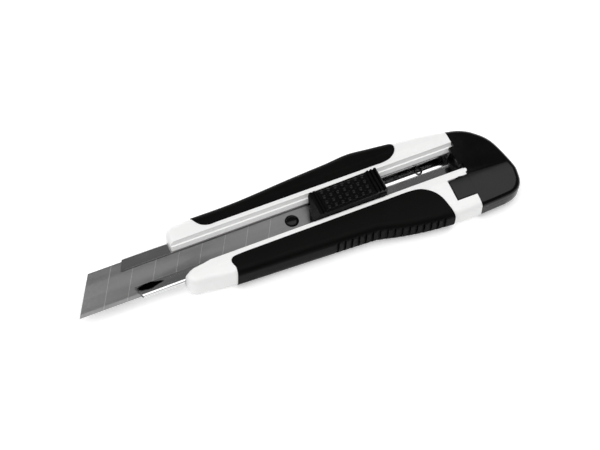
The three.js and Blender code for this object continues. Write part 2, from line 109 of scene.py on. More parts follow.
FAR = 80.0
NOSE_X = HANDLE_LOW.x
CAP_END_X = CAP_HIGH.x - 0.25
RIM_Z = HANDLE_HIGH.z
NOSE_HALF_WIDTH = 14.8
NOSE_CORNER = 4.2
SPINE_CROWN_X = 13.0
SPINE_CROWN = SPINE_HIGH.y - 0.4
FINGER_HOLLOW_X = 6.0
FINGER_HOLLOW = 19.1
BELLY_X = 48.0
BELLY = -CAP_LOW.y
WAIST_SPINE = 15.2
WAIST_FINGER = 16.5
SPINE_GRIP_FRONT_X = SPINE_LOW.x
SPINE_GRIP_REAR_X = SPINE_HIGH.x
FINGER_GRIP_FRONT_X = FINGER_LOW.x
FINGER_GRIP_REAR_X = FINGER_HIGH.x
CAP_X = 55.3
CAP_FINGER_X = 54.0
CAP_STRIP_X = 55.0
CAP_PLUG_X = CAP_LOW.x
CAP_SPINE_HALF_WIDTH = 13.5
CAP_WALL = 1.8
CAP_FIT = 0.2
CAP_GAP = 0.12
CAP_LIP_GAP = 0.12
SPIGOT_END_X = HANDLE_HIGH.x
SLOT_HALF = 6.8
SLOT_HALF_AT_LEDGE = 6.2
LEDGE_HALF = 5.6
LEDGE_Z = RIM_Z - 1.8
RIM_STRIP = 2.0
RIM_OUTER = SLOT_HALF + RIM_STRIP
LIP_HALF = 4.6
GRIP_THICKNESS = 2.4
GRIP_FIT = 0.12
BACK_PAD_DEPTH = BACK_PAD_HIGH.z
FIRST_RIB_X = -8.2
CROWN_START = 9.5
CROWN_FINGER_DROP = 2.0
CROWN_SPINE_DROP = 0.7
CROWN_STRIP = 1.3
CROWN_STRIPS = 12
CROWN_FOOT_Z = 4.0
# Centre of the painted dark reflection near the front end of the edge-side lip.
TIP_REFLECTION_X = -84.0
TIP_REFLECTION_Y = -6.1
BLADE_ANGLE = 60.0
BLADE_TIP_X = BLADE_LOW.x
BLADE_REAR_X = BLADE_HIGH.x
BLADE_HALF = BLADE_HIGH.y
BLADE_TOP_Z = BLADE_HIGH.z
BLADE_BOTTOM_Z = BLADE_LOW.z
GROUND_WIDTH = 1.4
BLADE_END_X = BLADE_REAR_X + 5.2
PEG_X = BLADE_REAR_X - 5.0
SCORE_COUNT = 8
OUTLINE_STEP = 1.3
FINE_STEP = 0.5


# ---------- settings a user would change ----------


def length(name, text, millimetres):
    return FloatProperty(
        name=name, description=text, default=millimetres * MM, unit="LENGTH", subtype="DISTANCE", precision=5
    )


def colour(name, text, value):
    return FloatVectorProperty(
        name=name, description=text, default=value, size=4, min=0.0, max=1.0, subtype="COLOR"
    )


class KnifeHandleSettings(bpy.types.PropertyGroup):
    top_round: length("Top Round", "Radius along the top of the handle", 2.5)
    back_round: length("Back Round", "How far the round along the back reaches in", 4.0)
    back_round_height: length("Back Round Height", "How far the round along the back reaches up", 5.5)
    rim_round: length("Rim Round", "Small radius along the slot's rim", 0.35)
    grip_proud: length("Grip Proud", "How far the soft grips stand out from the sides", 0.4)
    grip_step: length("Grip Step", "How far the soft grips stand above the top", 0.25)
    rib_pitch: length("Rib Pitch", "Distance between the finger grip's grooves", 3.0)
    rib_width: length("Rib Width", "Width of the finger grip's grooves", 1.5)
    rib_depth: length("Rib Depth", "Depth of the finger grip's grooves", 1.1)
    rib_count: IntProperty(name="Ribs", description="Grooves on the finger grip", default=16, min=1)


class KnifeSteelSettings(bpy.types.PropertyGroup):
    sheet: length("Sheet", "Thickness of the rail's strip steel", 0.32)
    bend: length("Bend Radius", "Outside radius of the rail's bends", 1.0)
    bead_height: length("Bead Height", "Height of the bead pressed in the rail's floor", 0.28)
    score_pitch: length("Score Pitch", "Distance between the blade's score lines", 10.0)
    score_depth: length("Score Depth", "Depth of the blade's score lines", 0.04)
    score_width: length("Score Width", "Width of the blade's score lines", 0.42)


class KnifeSliderSettings(bpy.types.PropertyGroup):
    stud_pitch: length("Stud Pitch", "Distance between studs along the slider", 3.0)
    stud_pitch_across: length("Stud Pitch Across", "Distance between studs across the slider", 2.6)
    stud_radius: length("Stud Radius", "Radius of one stud", 0.9)
    stud_height: length("Stud Height", "Height of one stud", 0.5)


class KnifeCapSettings(bpy.types.PropertyGroup):
    seam_height: length("Seam Height", "Height of the seam round the cap", 8.3)
    seam_depth: length("Seam Depth", "Depth of the seam round the cap", 0.3)


class KnifeFinishSettings(bpy.types.PropertyGroup):
    white_plastic: colour("White Plastic", "Handle body", (0.81, 0.81, 0.805, 1.0))
    soft_grip: colour("Soft Grip", "Rubber grips", (0.0013, 0.0012, 0.0011, 1.0))
    rail_steel: colour("Rail Steel", "Folded steel rail", (0.56, 0.56, 0.56, 1.0))
    blade_steel: colour("Blade Steel", "Ground blade", (0.215, 0.215, 0.215, 1.0))
    dark_steel: colour("Dark Steel", "Rivets and spring", (0.035, 0.035, 0.035, 1.0))
    black_plastic: colour("Black Plastic", "Slider and carrier", (0.0012, 0.0012, 0.0012, 1.0))
    gloss_black: colour("Gloss Black", "End cap and latch", (0.0008, 0.0008, 0.0008, 1.0))


# ---------- shader node groups ----------


def link(tree, source, target):
    tree.links.new(source, target)


def feed(tree, value, socket):
    """Sets a socket to a number, or links it to another socket."""
    if isinstance(value, (int, float)):
        socket.default_value = value
    else:
        link(tree, value, socket)


def add_node(tree, kind, **settings):
    node = tree.nodes.new(kind)
    for name, value in settings.items():
        setattr(node, name, value)
    return node


def math_node(tree, operation, first, second=None, clamp=False):
    node = add_node(tree, "ShaderNodeMath", operation=operation, use_clamp=clamp)
    for socket, value in zip(node.inputs, (first, second)):
        if value is not None:
            feed(tree, value, socket)
    return node.outputs["Value"]


def remap(tree, value, low, high, new_low=0.0, new_high=1.0):
    node = add_node(tree, "ShaderNodeMapRange", clamp=True)
    link(tree, value, node.inputs["Value"])
    for name, limit in (("From Min", low), ("From Max", high), ("To Min", new_low), ("To Max", new_high)):
        feed(tree, limit, node.inputs[name])
    return node.outputs["Result"]


def stretched_coordinates(tree, scale=(1.0, 1.0, 1.0)):
    coordinates = add_node(tree, "ShaderNodeTexCoord")
    mapping = add_node(tree, "ShaderNodeMapping")
    mapping.inputs["Scale"].default_value = scale
    link(tree, coordinates.outputs["Object"], mapping.inputs["Vector"])
    return mapping.outputs["Vector"]


def noise(tree, vector, scale, detail=3.0, roughness=0.5):
    node = add_node(tree, "ShaderNodeTexNoise")
    link(tree, vector, node.inputs["Vector"])
    feed(tree, scale, node.inputs["Scale"])
    node.inputs["Detail"].default_value = detail
    node.inputs["Roughness"].default_value = roughness
    return node.outputs["Fac"]


def new_group(name, inputs, outputs):
    tree = bpy.data.node_groups.new(name, "ShaderNodeTree")
    for label, default in inputs:
        socket = tree.interface.new_socket(label, in_out="INPUT", socket_type="NodeSocketFloat")
        socket.default_value = default
    for label in outputs:
        tree.interface.new_socket(label, in_out="OUTPUT", socket_type="NodeSocketFloat")
    return tree, add_node(tree, "NodeGroupInput"), add_node(tree, "NodeGroupOutput")


def moulded_grain_group():
    """Fine pebbled surface of a moulded part, with slow variation in its gloss."""
    given_values = [("Scale", 2600.0), ("Variation", 60.0)]
    tree, given, result = new_group("Moulded Grain", given_values, ["Height", "Tone"])
    vector = stretched_coordinates(tree)
    fine = noise(tree, vector, given.outputs["Scale"], 2.0, 0.6)
    coarse = noise(tree, vector, given.outputs["Variation"], 3.0, 0.55)
    link(tree, fine, result.inputs["Height"])
    link(tree, remap(tree, coarse, 0.3, 0.7), result.inputs["Tone"])
    return tree


def brushed_group():
    """Fine lines along the strip, as rolled and ground steel has."""
    tree, given, result = new_group("Rolled Lines", [("Scale", 1.0)], ["Height", "Streak"])
    scale = given.outputs["Scale"]
    fine = noise(tree, stretched_coordinates(tree, (60.0, 3800.0, 3800.0)), scale, 2.0, 0.65)
    broad = noise(tree, stretched_coordinates(tree, (12.0, 420.0, 420.0)), scale, 3.0, 0.55)
    link(tree, fine, result.inputs["Height"])
    link(tree, remap(tree, broad, 0.32, 0.68), result.inputs["Streak"])
    return tree


def edge_wear_group():
    """Worn edges: a mask on convex edges, broken up by noise."""
    tree, given, result = new_group("Edge Wear", [("Reach", 0.53), ("Full", 0.62)], ["Mask"])
    geometry = add_node(tree, "ShaderNodeNewGeometry")
    vector = stretched_coordinates(tree)
    patches = remap(tree, noise(tree, vector, 900.0, 4.0, 0.6), 0.35, 0.65)
    convex = remap(tree, geometry.outputs["Pointiness"], given.outputs["Reach"], given.outputs["Full"])
    link(tree, math_node(tree, "MULTIPLY", convex, patches), result.inputs["Mask"])
    return tree


def handling_group():
    """Faint smears and dust from handling, stronger on faces that look up."""
    tree, given, result = new_group("Handling", [("Scale", 130.0)], ["Smear", "Dust"])
    geometry = add_node(tree, "ShaderNodeNewGeometry")
    split = add_node(tree, "ShaderNodeSeparateXYZ")
    link(tree, geometry.outputs["Normal"], split.inputs[0])
    upward = remap(tree, split.outputs["Z"], 0.2, 0.9)
    vector = stretched_coordinates(tree, (1.0, 2.2, 1.0))
    smear = remap(tree, noise(tree, vector, given.outputs["Scale"], 4.0, 0.6), 0.42, 0.72)
    specks = remap(tree, noise(tree, vector, 5200.0, 1.0, 0.4), 0.66, 0.78)
    link(tree, smear, result.inputs["Smear"])
    link(tree, math_node(tree, "MULTIPLY", specks, upward), result.inputs["Dust"])
    return tree


def object_axes(tree):
    coordinates = add_node(tree, "ShaderNodeTexCoord")
    split = add_node(tree, "ShaderNodeSeparateXYZ")
    link(tree, coordinates.outputs["Object"], split.inputs[0])
    return split.outputs


def score_highlight_group():
    """Painted highlight along the blade's real score grooves: thin bright lines, slanted as the blade's end
    is.
    """
    given_values = [("Pitch", 0.01), ("Width", 0.00025), ("Count", 8.0)]
    tree, given, result = new_group("Score Lines", given_values, ["Line"])
    pitch = given.outputs["Pitch"]
    half_pitch = math_node(tree, "DIVIDE", pitch, 2.0)
    lean = 1.0 / math.tan(math.radians(BLADE_ANGLE))
    x, y = object_axes(tree)[:2]
    along = math_node(tree, "SUBTRACT", x, math_node(tree, "MULTIPLY", y, lean))
    along = math_node(tree, "SUBTRACT", along, (BLADE_TIP_X + BLADE_HALF * lean) * MM)
    away = math_node(tree, "PINGPONG", along, half_pitch)
    line = remap(tree, away, 0.0, given.outputs["Width"], 1.0, 0.0)
    after_tip = math_node(tree, "GREATER_THAN", along, half_pitch)
    reach = math_node(tree, "MULTIPLY", pitch, math_node(tree, "ADD", given.outputs["Count"], 0.5))
    before_end = math_node(tree, "LESS_THAN", along, reach)
    line = math_node(tree, "MULTIPLY", line, math_node(tree, "MULTIPLY", after_tip, before_end))
    patches = noise(tree, stretched_coordinates(tree), 700.0, 3.0, 0.6)
    broken = remap(tree, patches, 0.3, 0.55, 0.45, 1.0)
    link(tree, math_node(tree, "MULTIPLY", line, broken), result.inputs["Line"])
    return tree


def tip_painted_reflection_group():
    """Painted dark reflection on the edge-side lip of the rail, close to its front end."""
    tree, given, result = new_group("Tip Mark", [("Length", 0.0062), ("Width", 0.0018)], ["Mask"])
    x, y, z = object_axes(tree)[:3]
    along = math_node(tree, "SUBTRACT", x, TIP_REFLECTION_X * MM)
    along = math_node(tree, "DIVIDE", along, given.outputs["Length"])
    across = math_node(tree, "SUBTRACT", y, TIP_REFLECTION_Y * MM)
    across = math_node(tree, "DIVIDE", across, given.outputs["Width"])
    across = math_node(tree, "MULTIPLY", across, remap(tree, along, 0.0, 1.0, 1.0, 2.4))
    squares = [math_node(tree, "MULTIPLY", axis, axis) for axis in (along, across)]
    reach = math_node(tree, "ADD", *squares)
    ragged = noise(tree, stretched_coordinates(tree, (1.0, 2.0, 1.0)), 900.0, 3.0, 0.6)
    reach = math_node(tree, "ADD", reach, math_node(tree, "MULTIPLY", ragged, 0.9))
    mask = remap(tree, reach, 1.1, 1.45, 1.0, 0.0)
    upper = math_node(tree, "GREATER_THAN", z, (RAIL_HIGH.z - 0.3) * MM)
    link(tree, math_node(tree, "MULTIPLY", mask, upper), result.inputs["Mask"])
    return tree


GROUP_MAKERS = {
    "Moulded Grain": moulded_grain_group,
    "Rolled Lines": brushed_group,
    "Edge Wear": edge_wear_group,
    "Handling": handling_group,
    "Score Lines": score_highlight_group,
    "Tip Mark": tip_painted_reflection_group,
}


def group_node(tree, name, **values):
    """A node of one of the shared groups, which is built on its first use."""
    group = bpy.data.node_groups.get(name) or GROUP_MAKERS[name]()
    node = add_node(tree, "ShaderNodeGroup", node_tree=group)
    for label, value in values.items():
        node.inputs[label].default_value = value
    return node


# ---------- materials ----------


class Finish:
    """One material under construction: a shader, its tree and small helpers."""

    def __init__(self, name, roughness, metallic=0.0):
        self.material = bpy.data.materials.new(name)
        self.material.use_nodes = True
        self.tree = self.material.node_tree
        self.shader = self.tree.nodes["Principled BSDF"]
        self.shader.inputs["Roughness"].default_value = roughness
        self.shader.inputs["Metallic"].default_value = metallic

    def tint(self, base, other, *masks):
        """Base colour that moves towards another colour by each mask and its share."""
        self.shader.inputs["Base Color"].default_value = base
        for mask, share in masks:
            self.blend(mask, other, share)

    def blend(self, mask, other, share):
        """Adds one more colour over the base colour."""
        socket = self.shader.inputs["Base Color"]
        mix = add_node(self.tree, "ShaderNodeMix", data_type="RGBA")
        link(self.tree, math_node(self.tree, "MULTIPLY", mask, share), mix.inputs["Factor"])
        if socket.is_linked:
            link(self.tree, socket.links[0].from_socket, mix.inputs["A"])
        else:
            mix.inputs["A"].default_value = socket.default_value
        mix.inputs["B"].default_value = other
        link(self.tree, mix.outputs["Result"], socket)

    def roughness(self, mask, low, high, extra, extra_share):
        value = remap(self.tree, mask, 0.0, 1.0, low, high)
        added = math_node(self.tree, "MULTIPLY", extra, extra_share)
        value = math_node(self.tree, "ADD", value, added, clamp=True)
        link(self.tree, value, self.shader.inputs["Roughness"])

    def bump(self, height, strength, distance):
        node = add_node(self.tree, "ShaderNodeBump")
        node.inputs["Strength"].default_value = strength
        node.inputs["Distance"].default_value = distance
        link(self.tree, height, node.inputs["Height"])
        link(self.tree, node.outputs["Normal"], self.shader.inputs["Normal"])


def moulded_finish(name, base, worn, rough, grain_scale, bump, coat, specular):
    """Moulded plastic or rubber: grain, uneven gloss, worn edges, smears and dust."""
    finish = Finish(name, rough[0])
    grain = group_node(finish.tree, "Moulded Grain", Scale=grain_scale)
    wear = group_node(finish.tree, "Edge Wear")
    handling = group_node(finish.tree, "Handling")
    finish.tint(
        base,
        worn,
        (grain.outputs["Tone"], 0.10),
        (wear.outputs["Mask"], 0.35),
        (handling.outputs["Dust"], 0.10),
    )
    finish.roughness(grain.outputs["Tone"], rough[0], rough[1], handling.outputs["Smear"], 0.04)
    finish.bump(grain.outputs["Height"], bump[0], bump[1])
    finish.shader.inputs["Specular IOR Level"].default_value = specular
    finish.shader.inputs["Coat Weight"].default_value = coat
    finish.shader.inputs["Coat Roughness"].default_value = 0.08
    return finish


def steel_finish(name, base, worn, rough, bump, anisotropic, wear_share):
    """Strip steel: fine lines along it, streaks in its gloss, bright worn edges."""
    finish = Finish(name, rough[0], 1.0)
    lines = group_node(finish.tree, "Rolled Lines")
    wear = group_node(finish.tree, "Edge Wear")
    handling = group_node(finish.tree, "Handling")
    finish.tint(base, worn, (lines.outputs["Streak"], 0.16), (wear.outputs["Mask"], wear_share))
    finish.roughness(lines.outputs["Streak"], rough[0], rough[1], handling.outputs["Smear"], 0.05)
    finish.bump(lines.outputs["Height"], bump[0], bump[1])
    finish.shader.inputs["Anisotropic"].default_value = anisotropic
    return finish


def grey(value):
    return (value, value, value, 1.0)


# Setting, worn colour, roughness, grain scale, bump, coat and specular level of each slot.
MOULDED_LOOKS = {
    "white_plastic": (
        "white_plastic", (0.93, 0.93, 0.92, 1.0), (0.26, 0.36), 3400.0, (0.06, 0.00006), 0.15, 0.5
    ),
    "soft_grip": ("soft_grip", (0.006, 0.006, 0.0055, 1.0), (0.42, 0.52), 4200.0, (0.25, 0.0001), 0.0, 0.055),
    "black_plastic": ("black_plastic", grey(0.008), (0.13, 0.20), 3800.0, (0.08, 0.00005), 0.0, 0.18),
    "slider_rubber": ("black_plastic", grey(0.008), (0.12, 0.18), 4600.0, (0.10, 0.00005), 0.0, 0.13),
    "gloss_black_plastic": ("gloss_black", grey(0.012), (0.10, 0.17), 700.0, (0.05, 0.00008), 0.0, 0.21),
}
# Setting, worn colour, roughness, bump, anisotropy and share of worn edges of each slot.
STEEL_LOOKS = {
    "rail_steel": ("rail_steel", grey(0.80), (0.07, 0.11), (0.008, 0.00002), 0.0, 0.04),
    "blade_steel": ("blade_steel", grey(0.35), (0.34, 0.46), (0.10, 0.00004), 0.35, 0.4),
    "rivet_steel": ("dark_steel", grey(0.3), (0.2, 0.32), (0.08, 0.00004), 0.0, 0.4),
    "spring_steel": ("dark_steel", grey(0.3), (0.2, 0.32), (0.08, 0.00004), 0.0, 0.4),
}


def finish_for(slot):
    """The material of one of the record's slots, built on its first use."""
    name = f"knife_{slot}"
    found = bpy.data.materials.get(name)
    if found:
        return found
    maker = moulded_finish if slot in MOULDED_LOOKS else steel_finish
    setting, *look = MOULDED_LOOKS.get(slot) or STEEL_LOOKS[slot]
    finish = maker(name, getattr(bpy.context.scene.knife_finish, setting), *look)
    if slot == "white_plastic":
        finish.shader.inputs["Subsurface Weight"].default_value = 0.12
        finish.shader.inputs["Subsurface Radius"].default_value = (0.002, 0.002, 0.002)
        finish.shader.inputs["Subsurface Scale"].default_value = 0.6
    elif slot == "rail_steel":
        # Painted dark reflection near the front end of the edge-side lip, blended into the base colour.
        finish.blend(group_node(finish.tree, "Tip Mark").outputs["Mask"], grey(0.003), 1.0)
    elif slot == "blade_steel":
        steel = bpy.context.scene.knife_steel
        values = {"Pitch": steel.score_pitch, "Width": steel.score_width / 2, "Count": SCORE_COUNT}
        # Painted highlight: lighter base colour along the score grooves, where their walls would catch the
        # light.
        scored = group_node(finish.tree, "Score Lines", **values)
        finish.blend(scored.outputs["Line"], grey(0.6), 0.5)
    return finish.material


# ---------- outlines ----------


def smooth_line(points, spacing=OUTLINE_STEP):
    """Evenly stepped smooth line through the points."""
    line = []
    knots = [Vector((x, y, 0.0)) for x, y in points]
    for i in range(len(knots) - 1):
        a, b = knots[i], knots[i + 1]
        before = knots[i - 1] if i else a
        after = knots[i + 2] if i + 2 < len(knots) else b
        steps = max(2, round((b - a).length / spacing))
        span = interpolate_bezier(a, a + (b - before) / 6, b - (after - a) / 6, b, steps + 1)
        line += [(p.x, p.y) for p in span[:-1]]
    return line + [points[-1]]


def arc(cx, cy, radius, start, end, steps):
    points = []
    for i in range(steps + 1):
        angle = math.radians(start + (end - start) * i / steps)
        points.append((cx + radius * math.cos(angle), cy + radius * math.sin(angle)))
    return points


def handle_outline():
    """Plan outline of the handle with its cap, anticlockwise from the nose."""
    corner_x = NOSE_X + NOSE_CORNER
    corner_y = NOSE_HALF_WIDTH - NOSE_CORNER
    finger = smooth_line([
        (corner_x, -NOSE_HALF_WIDTH), (corner_x + 3, -NOSE_HALF_WIDTH - 0.1),
        (FINGER_GRIP_FRONT_X, -WAIST_FINGER), (FINGER_GRIP_FRONT_X + 32, 1.2 - FINGER_HOLLOW),
        (FINGER_HOLLOW_X, -FINGER_HOLLOW), (FINGER_HOLLOW_X + 5, -FINGER_HOLLOW - 0.6),
        (FINGER_HOLLOW_X + 13, -FINGER_HOLLOW - 2.6), (BELLY_X - 18, 1.4 - BELLY),
        (BELLY_X - 6, 0.2 - BELLY), (BELLY_X, -BELLY), (CAP_X + 6.5, 0.4 - BELLY),
        (CAP_END_X - 5.3, 1.3 - BELLY), (CAP_END_X - 1.4, 4.2 - BELLY), (CAP_END_X, 9.2 - BELLY),
        (CAP_END_X - 0.1, 2 - CAP_SPINE_HALF_WIDTH), (CAP_END_X - 3.2, 1.5), (CAP_X + 11.3, 8.2),
        (CAP_X + 6.1, 11.8), (CAP_X, CAP_SPINE_HALF_WIDTH), (CAP_X - 10, CAP_SPINE_HALF_WIDTH + 2),
        (SPINE_GRIP_REAR_X, SPINE_CROWN - 2.1), (SPINE_CROWN_X + 9, SPINE_CROWN - 0.9),
        (SPINE_CROWN_X, SPINE_CROWN), (SPINE_CROWN_X - 10, SPINE_CROWN - 0.9),
        (SPINE_CROWN_X - 26, SPINE_CROWN - 1.9), (SPINE_GRIP_FRONT_X + 20, WAIST_SPINE),
        (SPINE_GRIP_FRONT_X, NOSE_HALF_WIDTH + 0.3), (corner_x + 3, NOSE_HALF_WIDTH + 0.05),
        (corner_x, NOSE_HALF_WIDTH),
    ])
    return [
        *arc(corner_x, -corner_y, NOSE_CORNER, 180, 270, 9)[:-1],
        *finger[:-1],
        *arc(corner_x, corner_y, NOSE_CORNER, 90, 180, 9),
    ]


def inset_outline(points, grow):
    """The closed outline moved outwards by grow."""
    moved = []
    for i, (x, y) in enumerate(points):
        x0, y0 = points[i - 1]
        x1, y1 = points[(i + 1) % len(points)]
        across = Vector((y1 - y0, x0 - x1)).normalized()
        moved.append((x + across.x * grow, y + across.y * grow))
    return moved


def spine_grip_region(gap):
    inner = RIM_OUTER - gap
    front = SPINE_GRIP_FRONT_X + 1.3 - gap
    rear = SPINE_GRIP_REAR_X + gap
    edge = smooth_line([
        (front, inner + 7.4), (front + 0.15, inner + 5.2), (front + 1.2, inner + 2.9),
        (front + 2.8, inner + 1.1), (front + 5.6, inner), (front + 9, inner),
    ], FINE_STEP)
    tail = smooth_line([
        (rear - 11, inner), (rear - 7.4, inner), (rear - 4.2, inner + 0.7), (rear - 1.5, inner + 2.5),
        (rear - 0.1, inner + 4.7), (rear - 0.1, inner + 6.4), (rear - 1.1, inner + 7.8),
        (rear - 3.0, inner + 8.9),
    ], FINE_STEP)
    return [(front, FAR), *edge, *tail, (rear - 3.0, FAR)]


def finger_grip_region(gap):
    inner = -RIM_OUTER + gap
    front = FINGER_GRIP_FRONT_X - gap
    rear = FINGER_GRIP_REAR_X + gap
    tail = smooth_line([
        (rear, inner - 17.5), (rear - 0.6, inner - 14), (rear - 1.2, inner - 11), (rear - 2.1, inner - 7.5),
        (rear - 3.8, inner - 4.4), (rear - 6.7, inner - 1.7), (rear - 9.7, inner - 0.3),
        (rear - 13.9, inner + 0.2), (rear - 20, inner + 0.2),
    ], FINE_STEP)
    nose = smooth_line([
        (front + 8, inner), (front + 2.9, inner - 0.2), (front + 1.2, inner - 0.8),
        (front + 0.4, inner - 2.0), (front + 0.5, inner - 3.4), (front + 1.0, inner - 5.0),
        (front + 0.9, inner - 6.6), (front + 0.7, inner - 8.0),
    ], FINE_STEP)
    return [(rear, -FAR), *tail, *nose, (front + 0.7, -FAR)]


def cap_region(gap):
    edge = CAP_X - gap
    near = CAP_FINGER_X - gap
    plug = CAP_PLUG_X - gap
    strip = CAP_STRIP_X - gap
    tongue_end = arc(strip - 1.0, -SLOT_HALF - RIM_STRIP / 2, RIM_STRIP / 2 + 0.05, 80, -80, 6)
    return [
        (edge, FAR), (edge, LIP_HALF + CAP_LIP_GAP), (plug, LIP_HALF + CAP_LIP_GAP),
        (plug, -LIP_HALF - CAP_LIP_GAP), (strip, -LIP_HALF - CAP_LIP_GAP), *tongue_end, (near, -RIM_OUTER),
        (near, -FAR), (2 * FAR, -FAR), (2 * FAR, FAR),
    ]


# ---------- mesh building ----------


def outline_face(bm, points):
    return bm.faces.new([bm.verts.new(point) for point in points])


def extrude_face(bm, face, vector):
    """Extrudes a face and returns the face at the far end."""
    made = bmesh.ops.extrude_face_region(bm, geom=[face])["geom"]
    bmesh.ops.translate(bm, vec=vector, verts=[v for v in made if isinstance(v, bmesh.types.BMVert)])
    return next(f for f in made if isinstance(f, bmesh.types.BMFace))


def bevel(bm, edges, offset, segments=2, clamp=False):
    return bmesh.ops.bevel(
        bm,
        geom=list(edges),
        offset=offset,
        offset_type="OFFSET",
        segments=segments,
        profile=0.5,
        affect="EDGES",
        material=-1,
        clamp_overlap=clamp,
    )


def extrude_edges(bm, edges):
    """Extrudes open edges and returns the new vertices and the edges between them."""
    made = bmesh.ops.extrude_edge_only(bm, edges=edges)["geom"]
    verts = [v for v in made if isinstance(v, bmesh.types.BMVert)]
    moved = set(verts)
    return verts, [e for e in made if isinstance(e, bmesh.types.BMEdge) and set(e.verts) <= moved]


def make_object(bm, name, recalculate=True):
    if recalculate:
        bmesh.ops.recalc_face_normals(bm, faces=bm.faces[:])
    mesh = bpy.data.meshes.new(name)
    bm.to_mesh(mesh)
    bm.free()
    piece = bpy.data.objects.new(name, mesh)
    bpy.context.scene.collection.objects.link(piece)
    return piece


def apply_modifiers(piece):
    bpy.context.view_layer.update()
    depsgraph = bpy.context.evaluated_depsgraph_get()
    mesh = bpy.data.meshes.new_from_object(piece.evaluated_get(depsgraph))
    old = piece.data
    piece.modifiers.clear()
    piece.data = mesh
    bpy.data.meshes.remove(old)


def combine(piece, tool, operation="DIFFERENCE"):
    """Cuts, joins or intersects a piece with a tool, which is used up."""
    modifier = piece.modifiers.new("combine", "BOOLEAN")
    modifier.operation = operation
    modifier.solver = "EXACT"
    modifier.object = tool
    apply_modifiers(piece)
    bpy.data.objects.remove(tool)
    return piece


def swept(ring, vector):
    """Closed form swept from a ring of points along a vector."""
    bm = bmesh.new()
    extrude_face(bm, outline_face(bm, ring), vector)
    return make_object(bm, "swept")


def prism(points, z0, z1):
    """Plan outline between two heights."""
    return swept([(x, y, z0) for x, y in points], (0, 0, z1 - z0))


def run_along_x(points, x0, x1):
    """Outline in Y and Z that runs along the knife."""
    return swept([(x0, y, z) for y, z in points], (x1 - x0, 0, 0))


def side_profile(points, y0, y1):
    """Outline in X and Z that runs across the knife."""
    return swept([(x, y0, z) for x, z in points], (0, y1 - y0, 0))


def add_box(bm, centre, size):
    verts = bmesh.ops.create_cube(bm, size=1.0)["verts"]
    bmesh.ops.scale(bm, vec=size, verts=verts)
    bmesh.ops.translate(bm, vec=centre, verts=verts)


def block(x0, x1, y0, y1, z0, z1, edge=0.0):
    """Box, with softened edges if an edge radius is given."""
    bm = bmesh.new()
    add_box(bm, ((x0 + x1) / 2, (y0 + y1) / 2, (z0 + z1) / 2), (x1 - x0, y1 - y0, z1 - z0))
    if edge:
        bevel(bm, bm.edges[:], edge, 3)
    return make_object(bm, "block")


def spin_profile(bm, profile, x, y, steps):
    """Turned form on an upright axis, from a profile of radius and height that ends on the axis."""
    verts = [bm.verts.new((x + radius, y, z)) for radius, z in profile]
    edges = [bm.edges.new(pair) for pair in zip(verts, verts[1:])]
    bmesh.ops.spin(
        bm,
        geom=verts + edges,
        cent=(x, y, 0),
        axis=(0, 0, 1),
        angle=math.tau,
        steps=steps,
        use_merge=True,
        use_duplicate=False,
    )
    bmesh.ops.remove_doubles(bm, verts=bm.verts[:], dist=1e-4)


def turned(profile, x, y, steps):
    bm = bmesh.new()
    spin_profile(bm, profile, x, y, steps)
    return make_object(bm, "turned")


def crown(bm):
    """Lowers the upper part of a form towards its long sides, as the moulded top is crowned."""
    top = [f for f in bm.faces if f.normal.z > 0.95 and f.calc_center_median().z > LEDGE_Z + 0.5]
    geometry = top + [e for f in top for e in f.edges] + [v for f in top for v in f.verts]
    geometry = list(dict.fromkeys(geometry))
    for side in (-1, 1):
        for i in range(CROWN_STRIPS):
            cut = side * (CROWN_START + (i + 0.37) * CROWN_STRIP)
            plane = {"plane_co": (0, cut, 0), "plane_no": (0, 1, 0)}
            geometry = bmesh.ops.bisect_plane(bm, geom=geometry, dist=1e-4, **plane)["geom"]
    for vert in bm.verts:
        drop = CROWN_FINGER_DROP if vert.co.y < 0 else CROWN_SPINE_DROP
        reach = max(0.0, abs(vert.co.y) - CROWN_START) / (BELLY - CROWN_START)
        share = min(1.0, max(0.0, (vert.co.z - CROWN_FOOT_Z) / (RIM_Z - CROWN_FOOT_Z)))
        vert.co.z -= drop * reach**1.5 * share


def envelope(grow, top, back):
    """Outer form of the handle and cap, grown sideways, upwards and downwards."""
    sizes = bpy.context.scene.knife_handle
    least = 0.4
    top_round = max(sizes.top_round / MM + grow, least)
    back_in = max(sizes.back_round / MM + grow, least)
    back_up = max(sizes.back_round_height / MM + grow, least)
    outline = inset_outline(handle_outline(), grow)
    bm = bmesh.new()
    bottom = outline_face(bm, [(x, y, -back) for x, y in outline])
    upper = extrude_face(bm, bottom, (0, 0, RIM_Z + top + back))
    bottom = next(f for f in bm.faces if all(abs(v.co.z + back) < 1e-6 for v in f.verts))
    lower_edges = list(bottom.edges)
    bevel(bm, upper.edges, top_round, 6)
    bevel(bm, [e for e in lower_edges if e.is_valid], back_in, 6)
    for vert in bm.verts:
        height = vert.co.z + back
        if height <= back_in + 1e-6:
            vert.co.z = -back + height * back_up / back_in
    return make_object(bm, "envelope")


def tidy(piece, name, merge=0.01, sharp=32.0, edge=0.0, edge_angle=50.0, segments=2, crowned=False):
    """Cleans a finished form, softens its edges, brings it to metres and shades it."""
    bm = bmesh.new()
    bm.from_mesh(piece.data)
    bmesh.ops.remove_doubles(bm, verts=bm.verts[:], dist=merge)
    bmesh.ops.dissolve_degenerate(bm, edges=bm.edges[:], dist=1e-4)
    loose = [v for v in bm.verts if not v.link_faces]
    bmesh.ops.delete(bm, geom=loose, context="VERTS")
    if edge:
        limit = math.radians(edge_angle)
        hard = [e for e in bm.edges if len(e.link_faces) == 2 and e.calc_face_angle(0.0) > limit]
        bevel(bm, hard, edge, segments, clamp=True)
    bmesh.ops.recalc_face_normals(bm, faces=bm.faces[:])
    if crowned:
        crown(bm)
    bmesh.ops.scale(bm, vec=(MM, MM, MM), verts=bm.verts[:])
    bm.to_mesh(piece.data)
    bm.free()
    piece.name = name
    piece.data.name = name
    piece.data.shade_smooth()
    piece.data.set_sharp_from_angle(angle=math.radians(sharp))
    weighted = piece.modifiers.new("even_shading", "WEIGHTED_NORMAL")
    weighted.keep_sharp = True
    return piece


